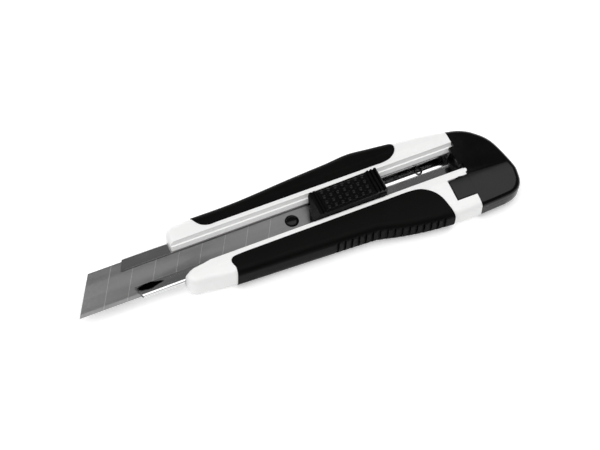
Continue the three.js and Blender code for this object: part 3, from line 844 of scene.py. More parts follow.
def hand_over(piece, body, slot, *replaced):
    """Gives a piece its material, its body and the solids that it stands for."""
    piece.data.materials.clear()
    piece.data.materials.append(finish_for(slot))
    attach(piece, body)
    if replaced:
        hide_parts(*replaced)
    return piece


# ---------- handle ----------

# Distance from the nose's front and Y of the line along which the edge-side nose tapers.
NOSE_TAPER = [
    (-4.0, -4.0), (-4.0, -9.6), (-0.2, -9.4), (0.9, -8.9), (2.2, -8.0), (4.0, -7.3), (6.2, -6.95),
    (8.5, -6.7), (10.5, -6.2), (12.5, -5.4), (13.5, -4.0),
]
# Height over the rim and growth of that line, for a round upper edge.
NOSE_TAPER_ROUND = [(-1.5, 0.0), (-0.7, 0.22), (-0.2, 0.7), (0.02, 1.3), (5.0, 1.4)]
RAIL_FIT = 0.1
LIP_GAP = 0.42
LIP_GAP_DEPTH = 0.8
LATCH_GAP = 0.3
LATCH_DROP = 1.0
SPIGOT_ROOT_X = 30.0
SPARE_POCKET_Z = (1.5, 3.43)
SPARE_POCKET_GAP = 0.25
RIB_LOW_Z = 1.4
RIB_RIM_GAP = 1.5
RIB_TOOL_Y = -24.0
RIB_TOOL_REACH = 14.0
PAD_GROOVE_COUNT = 18
PAD_GROOVE_INSET = 9.0
PAD_GROOVE_RADIUS = 0.7
PAD_GROOVE_SINK = 0.25
PAD_GROOVE_REACH = 9.0


def slot_tool():
    """Cutter for the open slot in the top, with a ledge on each side and a rounded rim."""
    radius = bpy.context.scene.knife_handle.rim_round / MM
    rim = []
    for a in (0, 22, 45, 68, 90):
        across, up = radius * math.cos(math.radians(a)), radius * math.sin(math.radians(a))
        rim.append((SLOT_HALF + radius - across, RIM_Z - radius + up))
    half = [
        (LIP_HALF + 0.1, RAIL_HIGH.z - 0.6), (LIP_HALF + 0.1, RAIL_HIGH.z + 0.3),
        (LEDGE_HALF - 0.1, LEDGE_Z - 0.25), (LEDGE_HALF, LEDGE_Z - 0.08), (LEDGE_HALF + 0.15, LEDGE_Z),
        (SLOT_HALF_AT_LEDGE - 0.1, LEDGE_Z), (SLOT_HALF_AT_LEDGE + 0.02, LEDGE_Z + 0.1),
        (SLOT_HALF - 0.05, RIM_Z - radius - 0.2), *rim, (SLOT_HALF + radius, FAR),
    ]
    return run_along_x(half + [(-y, z) for y, z in reversed(half)], NOSE_X - 1, SPIGOT_END_X + 1)


def nose_corner_tool():
    """Cutter that tapers the edge-side nose where it meets the slot, with a rounded upper edge."""
    outline = [(NOSE_X + along, y) for along, y in NOSE_TAPER]
    levels = [(RAIL_HIGH.z - 0.3, 0.0)] + [(RIM_Z + up, grow) for up, grow in NOSE_TAPER_ROUND]
    bm = bmesh.new()
    rings = []
    for z, grow in levels:
        rings.append([bm.verts.new((x, y, z)) for x, y in inset_outline(outline, grow)])
    for lower, upper in zip(rings, rings[1:]):
        for i in range(len(lower)):
            bm.faces.new((lower[i - 1], lower[i], upper[i], upper[i - 1]))
    bm.faces.new(rings[0])
    bm.faces.new(rings[-1])
    return make_object(bm, "nose_corner")


def region_tool(region):
    return prism(region, -FAR, FAR)


def grip_pocket_tool(region):
    skin = -GRIP_THICKNESS - GRIP_FIT
    inner = envelope(skin, skin, -BACK_PAD_DEPTH - GRIP_FIT)
    return combine(region_tool(region), inner)


def back_pad_outline(grow):
    radius = (BACK_PAD_HIGH.y - BACK_PAD_LOW.y) / 2
    rear = BACK_PAD_HIGH.x - radius
    front = BACK_PAD_LOW.x + radius
    return [*arc(rear, 0, radius + grow, -90, 90, 20), *arc(front, 0, radius + grow, 90, 270, 20)]


def build_handle_shell():
    shell = combine(envelope(0, 0, 0), region_tool(cap_region(CAP_GAP)))
    skin = -CAP_WALL - CAP_FIT
    spigot = envelope(skin, skin, skin)
    combine(spigot, block(SPIGOT_ROOT_X, SPIGOT_END_X, -FAR, FAR, -FAR, FAR), "INTERSECT")
    combine(shell, spigot, "UNION")
    start, end, top = NOSE_X - 1, SPIGOT_END_X + 1, RAIL_HIGH.z
    rail_half = RAIL_HIGH.y + RAIL_FIT
    pocket_half = BLADE_HIGH.y + SPARE_POCKET_GAP
    pocket_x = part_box("spare_blade_1")[0].x / MM - 1
    latch_sides = (LATCH_LOW.y - LATCH_GAP, LATCH_HIGH.y + LATCH_GAP)
    cutters = [
        block(start, end, -rail_half, rail_half, RAIL_LOW.z - RAIL_FIT, top + RAIL_FIT),
        slot_tool(),
        block(start, CAP_X - 1.0, LIP_HALF, LIP_HALF + LIP_GAP_DEPTH, top - 0.3, top + LIP_GAP),
        nose_corner_tool(),
        block(CAP_X + 4.0, FAR, LIP_HALF, FAR, top - 0.5, FAR),
        grip_pocket_tool(spine_grip_region(GRIP_FIT)),
        grip_pocket_tool(finger_grip_region(GRIP_FIT)),
        block(pocket_x, end, -pocket_half, pocket_half, *SPARE_POCKET_Z),
        block(LATCH_LOW.x - LATCH_GAP, FAR, *latch_sides, LATCH_LOW.z - LATCH_DROP, FAR),
        prism(back_pad_outline(GRIP_FIT), -FAR, BACK_PAD_DEPTH + GRIP_FIT),
    ]
    for cutter in cutters:
        combine(shell, cutter)
    tidy(shell, "handle_shell", edge=0.12, crowned=True)
    hand_over(shell, "handle", "white_plastic", "handle_body")


def grip_piece(region):
    sizes = bpy.context.scene.knife_handle
    grip = envelope(sizes.grip_proud / MM, sizes.grip_step / MM, 0)
    combine(grip, region_tool(region), "INTERSECT")
    return combine(grip, envelope(-GRIP_THICKNESS, -GRIP_THICKNESS, -BACK_PAD_DEPTH))


def rib_tool():
    """Row of upright grooves on the finger side whose floors follow the surface."""
    sizes = bpy.context.scene.knife_handle
    low, high = RIB_LOW_Z, RIM_Z - RIB_RIM_GAP
    bm = bmesh.new()
    for i in range(sizes.rib_count):
        centre = (FIRST_RIB_X + i * sizes.rib_pitch / MM, RIB_TOOL_Y, (low + high) / 2)
        add_box(bm, centre, (sizes.rib_width / MM, RIB_TOOL_REACH, high - low))
    grown = (sizes.grip_proud - sizes.rib_depth) / MM
    return combine(make_object(bm, "rib_tool"), envelope(grown, grown, 0))


def pad_groove_tool():
    """Row of cylinders that press round grooves across the pad on the back."""
    first = BACK_PAD_LOW.x + PAD_GROOVE_INSET
    run = BACK_PAD_HIGH.x - BACK_PAD_LOW.x - 2 * PAD_GROOVE_INSET
    radius = PAD_GROOVE_RADIUS
    bm = bmesh.new()
    for i in range(PAD_GROOVE_COUNT):
        size = {"radius1": radius, "radius2": radius, "depth": PAD_GROOVE_REACH}
        verts = bmesh.ops.create_cone(bm, cap_ends=True, segments=12, **size)["verts"]
        bmesh.ops.rotate(bm, matrix=Matrix.Rotation(math.radians(90), 3, "X"), verts=verts)
        place = (first + i * run / (PAD_GROOVE_COUNT - 1), 0, -PAD_GROOVE_SINK)
        bmesh.ops.translate(bm, vec=place, verts=verts)
    return make_object(bm, "pad_grooves")


def build_grips():
    spine = grip_piece(spine_grip_region(0))
    tidy(spine, "spine_grip_pad", edge=0.22, segments=3, crowned=True)
    hand_over(spine, "handle", "soft_grip", "spine_grip")
    finger = combine(grip_piece(finger_grip_region(0)), rib_tool())
    tidy(finger, "finger_grip_pad", edge=0.18, segments=3, crowned=True)
    hand_over(finger, "handle", "soft_grip", "finger_grip")
    pad = combine(prism(back_pad_outline(0), 0, BACK_PAD_DEPTH), pad_groove_tool())
    tidy(pad, "back_pad_grip", edge=0.15)
    hand_over(pad, "handle", "soft_grip", "back_pad")


# ---------- rail and rivets ----------

TAPER_START_X, TAPER_END_X = -80.0, -53.0
TIP_DEPTH = 2.0
TIP_SWEEP = 2.5
NEAR_TIP_STEP = 2.3
NEAR_TIP_SWEEP = 1.7
NOTCH_PITCH = 5.0
NOTCH_LENGTH = 2.0
NOTCH_DEPTH = 1.0
NOTCH_COUNT = 18
FIRST_NOTCH_X = -52.0
# Y and share of the full height across the bead, and where the bead starts to fade and ends.
BEAD_PROFILE = [(4.9, 0.0), (4.6, 0.12), (4.2, 0.8), (3.5, 1.0), (2.8, 0.8), (2.4, 0.12), (2.1, 0.0)]
BEAD_FADE_X, BEAD_END_X = 47.0, 50.0
# Radius and height over the rail's floor of a rivet's rolled head, from the shank to its hollow.
RIVET_HEAD = [
    (0.9, -0.3), (1.75, -0.2), (1.85, 0.15), (1.75, 0.38), (1.5, 0.5), (1.2, 0.44), (1.0, 0.2),
    (0.95, -0.1), (0.6, -0.2), (0.0, -0.22),
]


def rail_section():
    """Folded section as Y and Z, from one lip's edge to the other's."""
    steel = bpy.context.scene.knife_steel
    bend = steel.bend / MM
    bead = steel.bead_height / MM
    side, top, floor = RAIL_HIGH.y, RAIL_HIGH.z, RAIL_LOW.z
    half = [
        (LIP_HALF, top),
        (LIP_HALF + NOTCH_DEPTH, top),
        (side - bend - 1.2, top),
        *arc(side - bend, top - bend, bend, 90, 0, 5),
        *arc(side - bend, floor + bend, bend, 0, -90, 5),
        (6.4, floor),
        *[(y, floor + bead * share) for y, share in BEAD_PROFILE],
        (0.0, floor),
    ]
    return half + [(-y, z) for y, z in reversed(half[:-1])]


def rail_stations():
    stations = {RAIL_LOW.x, RAIL_LOW.x + 1.5, RAIL_LOW.x + 3, TAPER_START_X, TAPER_END_X, RAIL_HIGH.x}
    stations |= {TAPER_START_X + 9, TAPER_START_X + 18, 45.5, 47.5, 49.0, 50.0}
    for i in range(NOTCH_COUNT):
        x = FIRST_NOTCH_X + i * NOTCH_PITCH
        stations |= {x, x + NOTCH_LENGTH}
    return sorted(stations)


def in_notch(face):
    centre = face.calc_center_median()
    if centre.z < RAIL_HIGH.z - 0.1 or centre.x < FIRST_NOTCH_X:
        return False
    along = (centre.x - FIRST_NOTCH_X) % NOTCH_PITCH
    return -LIP_HALF - NOTCH_DEPTH < centre.y < -LIP_HALF and along < NOTCH_LENGTH


def shape_rail_vertex(vert):
    """Fades the bead out, tapers the floor to the thin tip and sweeps the lips' front ends."""
    bead = vert.co.z - RAIL_LOW.z
    if abs(vert.co.y) < 5.0 and 0 < bead < 1.0 and vert.co.x > BEAD_FADE_X:
        vert.co.z = RAIL_LOW.z + bead * max(0.0, (BEAD_END_X - vert.co.x) / (BEAD_END_X - BEAD_FADE_X))
    depth_share = (vert.co.x - TAPER_START_X) / (TAPER_END_X - TAPER_START_X)
    depth_share = min(1.0, max(0.0, depth_share))
    full = RAIL_HIGH.z - RAIL_LOW.z
    depth = TIP_DEPTH + (full - TIP_DEPTH) * depth_share
    vert.co.z = RAIL_HIGH.z - (RAIL_HIGH.z - vert.co.z) * depth / full
    if vert.co.x < RAIL_LOW.x + 3.5:
        share = 1.0 - (vert.co.x - RAIL_LOW.x) / 4.0
        outward = max(0.0, abs(vert.co.y) - LIP_HALF) / (RAIL_HIGH.y - LIP_HALF)
        inward = min(1.0, max(0.0, (LIP_HALF - vert.co.y) / (2 * LIP_HALF)))
        sweep = TIP_SWEEP if vert.co.y > 0 else NEAR_TIP_SWEEP
        vert.co.x += share * (NEAR_TIP_STEP * inward + sweep * outward)


def build_rail():
    section = rail_section()
    stations = rail_stations()
    bm = bmesh.new()
    verts = [bm.verts.new((stations[0], y, z)) for y, z in section]
    edges = [bm.edges.new(pair) for pair in zip(verts, verts[1:])]
    for x0, x1 in zip(stations, stations[1:]):
        verts, edges = extrude_edges(bm, edges)
        bmesh.ops.translate(bm, vec=(x1 - x0, 0, 0), verts=verts)
    bmesh.ops.delete(bm, geom=[f for f in bm.faces if in_notch(f)], context="FACES")
    for vert in bm.verts:
        shape_rail_vertex(vert)
    bmesh.ops.recalc_face_normals(bm, faces=bm.faces[:])
    bm.normal_update()
    lips = [f for f in bm.faces if f.calc_center_median().z > RAIL_HIGH.z - 0.05]
    if sum(f.normal.z * f.calc_area() for f in lips) < 0:
        bmesh.ops.reverse_faces(bm, faces=bm.faces[:])
    rail = make_object(bm, "folded_rail", recalculate=False)
    wall = rail.modifiers.new("sheet", "SOLIDIFY")
    wall.thickness = bpy.context.scene.knife_steel.sheet / MM
    wall.offset = -1.0
    wall.use_even_offset = True
    apply_modifiers(rail)
    tidy(rail, "folded_rail", merge=1e-4, edge=0.1, edge_angle=60.0)
    hand_over(rail, "handle", "rail_steel", "blade_rail")


def build_rivets():
    floor = RAIL_LOW.z + bpy.context.scene.knife_steel.sheet / MM
    centre = (RIVET_LOW + RIVET_HIGH) / 2
    shank = [(0.0, RIVET_LOW.z), (RIVET_HEAD[0][0], RIVET_LOW.z)]
    profile = shank + [(radius, floor + up) for radius, up in RIVET_HEAD]
    for name, y in (("rail_rivet_spine", centre.y), ("rail_rivet_edge", -centre.y)):
        rivet = turned(profile, centre.x, y, 32)
        tidy(rivet, f"{name}_head", merge=1e-4)
        hand_over(rivet, "handle", "rivet_steel", name)


# ---------- blade and carrier ----------

EDGE_HALF = 0.1
SPINE_CHAMFER = 0.12
LEAST_HALF = 0.02
HOLE_RADIUS = 2.9
# Radius and height over the blade of the peg's dome.
PEG_DOME = [
    (2.55, 0.05), (2.5, 0.25), (2.3, 0.48), (1.9, 0.68), (1.3, 0.82), (0.6, 0.89), (0.0, 0.9),
]
PEG_RADIUS = 2.5
ARM_HALF = 7.4
ARM_DEPTH = 1.1
BASE_TOP_Z = 8.0
NECK_HALF = 3.0
NECK_Z = (7.0, 10.8)
SPRING_POCKET = (1.9, 14.1, -2.15, 2.15)
PAWL_POCKET = (-2.95, -1.05, -5.55, 5.55, 5.75)


def build_blade():
    steel = bpy.context.scene.knife_steel
    pitch = steel.score_pitch / MM
    depth = steel.score_depth / MM
    half_score = steel.score_width / MM / 2
    slant = 2 * BLADE_HALF / math.tan(math.radians(BLADE_ANGLE))
    middle = (BLADE_TOP_Z + BLADE_BOTTOM_Z) / 2
    under = [
        (-BLADE_HALF, middle - EDGE_HALF), (-BLADE_HALF + GROUND_WIDTH, BLADE_BOTTOM_Z),
        (BLADE_HALF - SPINE_CHAMFER, BLADE_BOTTOM_Z), (BLADE_HALF, BLADE_BOTTOM_Z + SPINE_CHAMFER),
    ]
    over = [
        (BLADE_HALF, BLADE_TOP_Z - SPINE_CHAMFER), (BLADE_HALF - SPINE_CHAMFER, BLADE_TOP_Z),
        (-BLADE_HALF + GROUND_WIDTH, BLADE_TOP_Z), (-BLADE_HALF, middle + EDGE_HALF),
    ]
    scores = [i * pitch for i in range(1, SCORE_COUNT + 1)]
    stations = [0.0]
    for score in scores:
        stations += [score - half_score, score, score + half_score]

    def end_x(y):
        return BLADE_TIP_X + slant * (y + BLADE_HALF) / (2 * BLADE_HALF)

    bm = bmesh.new()
    first = [bm.verts.new((end_x(y), y, z)) for y, z in under + over]
    edges = [bm.edges.new((first[i - 1], first[i])) for i in range(len(first))]
    for near, far in zip(stations, stations[1:]):
        verts, edges = extrude_edges(bm, edges)
        bmesh.ops.translate(bm, vec=(far - near, 0, 0), verts=verts)
    scored = [v for v in bm.verts if v.co.z > middle]
    for vert in scored:
        reach = vert.co.x - end_x(vert.co.y)
        if any(abs(reach - score) < 1e-3 for score in scores):
            vert.co.z = max(middle + LEAST_HALF, vert.co.z - depth)
    verts, edges = extrude_edges(bm, edges)
    for vert in verts:
        vert.co.x = BLADE_END_X
        if vert.co.z > middle:
            vert.co.z = BLADE_TOP_Z - depth
    bmesh.ops.contextual_create(bm, geom=first)
    bmesh.ops.contextual_create(bm, geom=edges)
    blade = make_object(bm, "scored_blade")
    low, high = BLADE_BOTTOM_Z - 1, BLADE_TOP_Z + 1
    hole = [(0.0, low), (HOLE_RADIUS, low), (HOLE_RADIUS, high), (0.0, high)]
    combine(blade, turned(hole, PEG_X, 0, 48))
    tidy(blade, "scored_blade", merge=1e-4, sharp=4.0)
    hand_over(blade, "carriage", "blade_steel", "snap_off_blade")


def build_carrier():
    arm_top = BLADE_BOTTOM_Z - 0.1
    base_front = BLADE_END_X + 0.2
    carrier = block(CARRIER_LOW.x, base_front + 2, -ARM_HALF, ARM_HALF, arm_top - ARM_DEPTH, arm_top, 0.2)
    base = block(base_front, CARRIER_HIGH.x, -BLADE_HALF, BLADE_HALF, CARRIER_LOW.z, BASE_TOP_Z, 0.3)
    neck = block(BUTTON_LOW.x + 5.2, BUTTON_HIGH.x - 1.5, -NECK_HALF, NECK_HALF, *NECK_Z, 0.2)
    shank = [(0.0, arm_top - 1.0), (PEG_RADIUS, arm_top - 1.0)]
    dome = [(radius, BLADE_TOP_Z + up) for radius, up in PEG_DOME]
    for part in (base, neck, turned(shank + dome, PEG_X, 0, 48)):
        combine(carrier, part, "UNION")
    combine(carrier, block(*SPRING_POCKET, CARRIER_LOW.z + 1, FAR))
    combine(carrier, block(*PAWL_POCKET, FAR))
    tidy(carrier, "carrier_with_peg", merge=1e-3)
    hand_over(carrier, "carriage", "black_plastic", "blade_carrier")


# ---------- slider ----------

FRONT_RIDGE = 0.55
# Distance from the slider's rear and from its front, and drop below its top, along its ridges.
REAR_RIDGES = [(2.0, 0.0), (2.7, 0.0), (2.95, 0.8), (3.35, 0.8), (3.6, 0.0), (4.3, 0.0), (4.6, 0.7)]
FRONT_RIDGES = [
    (7.0, FRONT_RIDGE), (6.8, 0.0), (6.1, 0.0), (5.9, FRONT_RIDGE), (5.5, FRONT_RIDGE), (5.3, 0.0), (4.3, 0.1),
]
FRONT_SLANT = 3.8
STUD_COLUMNS, STUD_ROWS = 7, 4
STUD_SINK = 0.45
SMALL_STUD = 0.4
PAD_HALF = 4.8


def slider_top(x):
    share = (x - BUTTON_LOW.x) / (BUTTON_HIGH.x - BUTTON_LOW.x)
    front = RIM_Z + 1.7
    return front + share * (BUTTON_HIGH.z - front)


def build_slider_body():
    x0, x1 = BUTTON_LOW.x, BUTTON_HIGH.x
    half, under, top = BUTTON_HIGH.y, BUTTON_LOW.z, BUTTON_HIGH.z
    points = [
        (x0, under), (x1, under), (x1, top - 0.5), (x1 - 0.5, top), (x1 - 1.1, top),
        (x1 - 1.35, top - 0.9), (x1 - 1.75, top - 0.9),
        *[(x1 - back, slider_top(x1 - back) - drop) for back, drop in REAR_RIDGES],
        *[(x0 + along, slider_top(x0 + along) - drop) for along, drop in FRONT_RIDGES],
        (x0 + 1.0, under + 2.2), (x0, under + 1.2),
    ]
    body = side_profile(points, -half, half)
    edge_x = x0 + FRONT_SLANT
    for vert in body.data.vertices:
        if vert.co.x < edge_x:
            vert.co.x += (edge_x + 0.2 - vert.co.x) * (vert.co.y + half) / (2 * half)
    shoulder = LEDGE_Z + 0.95
    skirt = LIP_HALF - 0.08
    for low, high in ((-FAR, -skirt), (skirt, FAR)):
        combine(body, block(-FAR, FAR, low, high, -1, shoulder))
    combine(body, block(x0 + 2.3, x1 - 1.35, -3.15, 3.15, under - 1, 12.2))
    seat_half = PAD_HALF + 0.1
    combine(body, block(PAD_LOW.x - 0.1, PAD_HIGH.x + 0.1, -seat_half, seat_half, PAD_LOW.z, FAR))
    lug_sides = (-SLOT_HALF_AT_LEDGE - 0.04, -half + 0.6)
    lug = block(x1 - 3.4, x1 - 0.2, *lug_sides, shoulder + 0.3, shoulder + 1.6, 0.2)
    combine(body, lug, "UNION")
    tidy(body, "slider_body", merge=1e-3, edge=0.14, edge_angle=25.0)
    hand_over(body, "button", "black_plastic", "slider_button")


def stud_places(columns, rows, first):
    """Centres of a grid of studs, in the middle of the pad's width."""
    sizes = bpy.context.scene.knife_slider
    for column in range(columns):
        for row in range(rows):
            x = PAD_LOW.x + first + column * sizes.stud_pitch / MM
            yield x, (row - (rows - 1) / 2) * sizes.stud_pitch_across / MM


def build_slider_pad():
    sizes = bpy.context.scene.knife_slider
    low, high = PAD_LOW.x, PAD_HIGH.x
    points = [
        (low, PAD_LOW.z + 0.2), (high, PAD_LOW.z + 1.2), (high, slider_top(high) - 0.35),
        (low, slider_top(low) - 0.35),
    ]
    bm = bmesh.new()
    face = outline_face(bm, [(x, -PAD_HALF, z) for x, z in points])
    extrude_face(bm, face, (0, 2 * PAD_HALF, 0))
    bevel(bm, bm.edges[:], 0.2, 3)
    radius = sizes.stud_radius / MM
    height = sizes.stud_height / MM
    for x, y in stud_places(STUD_COLUMNS, STUD_ROWS, 2.0):
        base = slider_top(x) - STUD_SINK
        turns = [math.radians(a) for a in (0, 25, 50, 72)]
        dome = [(radius * math.cos(a), base + 0.1 + height * math.sin(a)) for a in turns]
        foot = [(0.0, base - 0.2), (radius, base - 0.2)]
        spin_profile(bm, [*foot, *dome, (0.0, base + 0.1 + height)], x, y, 14)
    for x, y in stud_places(STUD_COLUMNS - 1, STUD_ROWS - 1, 3.5):
        base = slider_top(x) - STUD_SINK
        foot = [(0.0, base - 0.2), (SMALL_STUD, base - 0.2)]
        dome = [(SMALL_STUD, base + 0.12), (SMALL_STUD * 0.7, base + 0.25), (0.0, base + 0.3)]
        spin_profile(bm, foot + dome, x, y, 10)
    pad = make_object(bm, "slider_studs")
    tidy(pad, "studded_pad", merge=1e-5)
    hand_over(pad, "button", "slider_rubber", "slider_pad")


# ---------- lock spring ----------

SPRING_THICKNESS = 0.3
SPRING_STEPS = 24


def build_lock_spring():
    """Arched leaf under the slider, built arched only; on the real knife it flattens as the slider is pressed.
    """
    middle = (SPRING_LOW + SPRING_HIGH) / 2
    half = (SPRING_HIGH.x - SPRING_LOW.x) / 2
    height = SPRING_HIGH.z - SPRING_LOW.z
    lower = []
    for i in range(SPRING_STEPS + 1):
        along = 2 * i / SPRING_STEPS - 1
        rise = (height - SPRING_THICKNESS) * math.cos(along * math.pi / 2) ** 2
        lower.append((middle.x + along * half, SPRING_LOW.z + rise))
    upper = [(x, z + SPRING_THICKNESS) for x, z in reversed(lower)]
    spring = side_profile(lower + upper, SPRING_LOW.y, SPRING_HIGH.y)
    tidy(spring, "lock_leaf_spring", merge=1e-4, edge=0.04, edge_angle=60.0)
    hand_over(spring, "carriage", "spring_steel", "lock_spring")
    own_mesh(spring)


# ---------- end cap and latch ----------

LOWER_STEP = 0.12
SEAM_HALF = 0.25
CAP_CLEAR_X = 54.0
LATCH_ROUND = 0.35


def seam_groove(piece):
    """Presses a fine seam round the cap, with the lower half set back a little."""
    sizes = bpy.context.scene.knife_cap
    height = sizes.seam_height / MM
    depth = sizes.seam_depth / MM
    bm = bmesh.new()
    bm.from_mesh(piece.data)
    for z in (height - SEAM_HALF, height, height + SEAM_HALF):
        geometry = bm.verts[:] + bm.edges[:] + bm.faces[:]
        bmesh.ops.bisect_plane(bm, geom=geometry, dist=1e-5, plane_co=(0, 0, z), plane_no=(0, 0, 1))
    bm.normal_update()
    for vert in bm.verts:
        outward = Vector((vert.normal.x, vert.normal.y, 0.0))
        if vert.co.x < CAP_X + 0.5 or outward.length < 0.5:
            continue
        if abs(vert.co.z - height) < 0.01:
            vert.co -= outward.normalized() * depth
        elif 2.0 < vert.co.z < height - 0.2:
            vert.co -= outward.normalized() * LOWER_STEP
    bm.to_mesh(piece.data)
    bm.free()


def build_cap():
    cap = combine(envelope(0, 0, 0), region_tool(cap_region(0)), "INTERSECT")
    seam_groove(cap)
    cavity = envelope(-CAP_WALL, -CAP_WALL, -CAP_WALL)
    combine(cavity, block(0, SPIGOT_END_X + CAP_FIT, -FAR, FAR, -FAR, FAR), "INTERSECT")
    combine(cap, cavity)
    plug_half = LIP_HALF - 0.1
    plug_low = RAIL_LOW.z + 0.7
    ramp = [
        (CAP_PLUG_X + 0.05, plug_low), (CAP_X + 1.6, plug_low), (CAP_X + 1.6, RIM_Z - 0.6),
        (CAP_X + 0.1, RIM_Z - 0.35), (CAP_PLUG_X + 0.05, plug_low + 0.8),
    ]
    combine(cap, side_profile(ramp, -plug_half, plug_half), "UNION")
    combine(cap, block(0, CAP_CLEAR_X, LATCH_LOW.y - LATCH_GAP, LATCH_HIGH.y + LATCH_GAP, -FAR, FAR))
    tidy(cap, "gloss_cap", edge=0.15, segments=3, crowned=True)
    hand_over(cap, "cap", "gloss_black_plastic", "end_cap")


def build_latch():
    low_y, high_y = LATCH_LOW.y, LATCH_HIGH.y
    tip, root = LATCH_LOW.x, 54.2
    finger_mark = [(52.4, high_y), (50.9, high_y + 0.75), (49.4, high_y + 0.7), (48.2, high_y)]
    outline = [
        (tip + 0.5, low_y), (tip + 7.0, low_y), (root, low_y - 0.25), (root, high_y + 0.6),
        (root - 1.0, high_y + 0.35),
        *smooth_line(finger_mark, 0.4),
        (tip + 0.4, high_y), (tip, high_y - 0.4), (tip, low_y + 0.5),
    ]
    bm = bmesh.new()
    face = outline_face(bm, [(x, y, LATCH_LOW.z) for x, y in outline])
    upper = extrude_face(bm, face, (0, 0, RIM_Z - LATCH_LOW.z))
    bevel(bm, upper.edges, LATCH_ROUND, 3)
    latch = make_object(bm, "press_latch")
    tidy(latch, "press_latch", merge=1e-3, crowned=True)
    hand_over(latch, "latch", "gloss_black_plastic", "cap_latch")


# ---------- stage ----------

CAMERA_PLACE = (-226.5, -404.7, 694.28)
CAMERA_RIGHT = (0.90944, -0.41443, 0.03408)
CAMERA_UP = (0.32931, 0.76785, 0.5495)
CAMERA_BACK = (-0.2539, -0.48852, 0.8348)
LENS = 122.2
SENSOR = 36.0
WORLD_STRENGTH = 0.15
FLOOR_GLOW = 0.32
FLOOR_SIZE = 4000.0
FLOOR_GAP = 0.00002
WHITE = (1.0, 1.0, 1.0, 1.0)
# Name, place, target, width, depth and watts of each light.
LIGHTS = [
    ("overhead", (0.0, -0.18, 0.85), (0.0, -0.18, 0.0), 1.6, 1.04, 10.6),
    ("left_fill", (-0.9, 0.1, 0.5), (0.0, 0.0, 0.0), 0.6, 0.6, 2.0),
    ("back_panel", (0.2, 1.1, 0.26), (0.2, 0.0, 0.26), 2.2, 0.5, 5.0),
]


def soft_light(name, place, target, width, depth, power):
    light = bpy.data.lights.new(name, "AREA")
    light.shape = "RECTANGLE"
    light.size = width
    light.size_y = depth
    light.energy = power
    holder = bpy.data.objects.new(name, light)
    bpy.context.scene.collection.objects.link(holder)
    holder.location = place
    direction = Vector(target) - Vector(place)
    holder.rotation_euler = direction.to_track_quat("-Z", "Y").to_euler()


def build_floor():
    bm = bmesh.new()
    bmesh.ops.create_grid(bm, x_segments=2, y_segments=2, size=FLOOR_SIZE)
    bmesh.ops.scale(bm, vec=(MM, MM, MM), verts=bm.verts[:])
    floor = make_object(bm, "studio_floor")
    floor.data.transform(Matrix.Translation((0, 0, cad_bounds[0][2] - FLOOR_GAP)))
    cover = Finish("studio_floor", 0.9)
    grain = group_node(cover.tree, "Moulded Grain", Scale=300.0, Variation=4.0)
    cover.tint((0.9, 0.9, 0.9, 1.0), (0.92, 0.92, 0.92, 1.0), (grain.outputs["Tone"], 0.5))
    cover.shader.inputs["Specular IOR Level"].default_value = 0.0
    cover.shader.inputs["Emission Color"].default_value = WHITE
    cover.shader.inputs["Emission Strength"].default_value = FLOOR_GLOW
    floor.data.materials.append(cover.material)


def build_camera():
    camera = bpy.data.cameras.new("camera")
    camera.lens = LENS
    camera.sensor_width = SENSOR
    camera.clip_start = 0.01
    holder = bpy.data.objects.new("camera", camera)
    bpy.context.scene.collection.objects.link(holder)
    axes = [Vector(CAMERA_RIGHT), Vector(CAMERA_UP), Vector(CAMERA_BACK)]
    turn = Matrix([[axis[row] for axis in axes] for row in range(3)])
    holder.matrix_world = Matrix.Translation(Vector(CAMERA_PLACE) * MM) @ turn.to_4x4()
    bpy.context.scene.camera = holder


# ---------- operators ----------


class KNIFE_OT_stage(bpy.types.Operator):
    """Build the pale floor, the soft studio light and the camera"""

    bl_idname = "knife.stage"
    bl_label = "Stage"

    def execute(self, context):
        context.scene.view_settings.view_transform = "Standard"
        build_floor()
        world = bpy.data.worlds.new("studio")
        context.scene.world = world
        world.use_nodes = True
        background = world.node_tree.nodes["Background"]
        background.inputs["Color"].default_value = WHITE
        background.inputs["Strength"].default_value = WORLD_STRENGTH
        for light in LIGHTS:
            soft_light(*light)
        build_camera()
        return {"FINISHED"}


class KNIFE_OT_handle(bpy.types.Operator):
    """Build the white moulded handle, its two soft side grips and the pad on its back"""

    bl_idname = "knife.handle"
    bl_label = "Handle and Grips"

    def execute(self, context):
        build_handle_shell()
        build_grips()
        return {"FINISHED"}


class KNIFE_OT_rail(bpy.types.Operator):
    """Build the folded steel rail and its two rivets"""

    bl_idname = "knife.rail"
    bl_label = "Rail and Rivets"

    def execute(self, context):
        build_rail()
        build_rivets()
        return {"FINISHED"}


class KNIFE_OT_blade(bpy.types.Operator):
    """Build the snap-off blade and the plastic carrier whose domed peg holds it"""

    bl_idname = "knife.blade"
    bl_label = "Blade and Carrier"

    def execute(self, context):
        build_blade()
        build_carrier()
        return {"FINISHED"}


class KNIFE_OT_slider(bpy.types.Operator):
    """Build the locking slider and its studded rubber pad"""

    bl_idname = "knife.slider"
    bl_label = "Slider"

    def execute(self, context):
        build_slider_body()
        build_slider_pad()
        return {"FINISHED"}


class KNIFE_OT_end_cap(bpy.types.Operator):
    """Build the glossy end cap and its press latch"""

    bl_idname = "knife.end_cap"
    bl_label = "End Cap"

    def execute(self, context):
        build_cap()
        build_latch()
        return {"FINISHED"}


class KNIFE_OT_lock_spring(bpy.types.Operator):
    """Build the leaf spring under the slider"""

    bl_idname = "knife.lock_spring"
    bl_label = "Lock Spring"

    def execute(self, context):
        build_lock_spring()
        return {"FINISHED"}


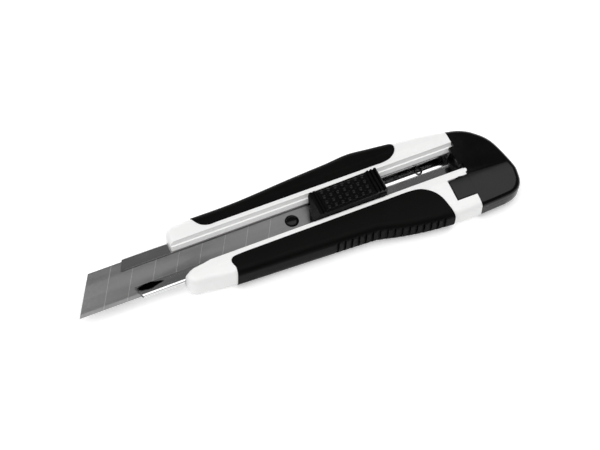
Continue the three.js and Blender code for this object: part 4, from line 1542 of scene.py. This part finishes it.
class KNIFE_OT_carried_solids(bpy.types.Operator):
    """Give the solids that stay visible their finishes"""

    bl_idname = "knife.carried_solids"
    bl_label = "Carried Solids"

    def execute(self, context):
        slots = {row["node"]: row["material_slot"] for row in frame["record"]["subparts"]}
        for node in ("spare_blade_1", "spare_blade_2", "spare_blade_3", "lock_pawl"):
            solid = frame["nodes"][node]
            solid.data.materials.clear()
            solid.data.materials.append(finish_for(slots[node]))
        return {"FINISHED"}


# ---------- add-on registration ----------

OPERATORS = (
    KNIFE_OT_stage,
    KNIFE_OT_handle,
    KNIFE_OT_rail,
    KNIFE_OT_blade,
    KNIFE_OT_slider,
    KNIFE_OT_end_cap,
    KNIFE_OT_lock_spring,
    KNIFE_OT_carried_solids,
)

SETTINGS = {
    "knife_handle": KnifeHandleSettings,
    "knife_steel": KnifeSteelSettings,
    "knife_slider": KnifeSliderSettings,
    "knife_cap": KnifeCapSettings,
    "knife_finish": KnifeFinishSettings,
}


class KNIFE_PT_sidebar(bpy.types.Panel):
    """Sizes, colours and build buttons of the knife"""

    bl_label = "Utility Knife"
    bl_space_type = "VIEW_3D"
    bl_region_type = "UI"
    bl_category = "Knife"

    def draw(self, context):
        layout = self.layout
        for name in SETTINGS:
            settings = getattr(context.scene, name)
            box = layout.box()
            for prop in settings.bl_rna.properties:
                if prop.identifier not in ("rna_type", "name"):
                    box.prop(settings, prop.identifier)
        for operator in OPERATORS:
            layout.operator(operator.bl_idname)


def register():
    for cls in (*SETTINGS.values(), *OPERATORS, KNIFE_PT_sidebar):
        bpy.utils.register_class(cls)
    for name, cls in SETTINGS.items():
        setattr(bpy.types.Scene, name, PointerProperty(type=cls))


def unregister():
    for name in SETTINGS:
        delattr(bpy.types.Scene, name)
    for cls in reversed((*SETTINGS.values(), *OPERATORS, KNIFE_PT_sidebar)):
        bpy.utils.unregister_class(cls)


def main():
    register()
    for operator in OPERATORS:
        group, name = operator.bl_idname.split(".")
        getattr(getattr(bpy.ops, group), name)()


if __name__ == "__main__":
    main()
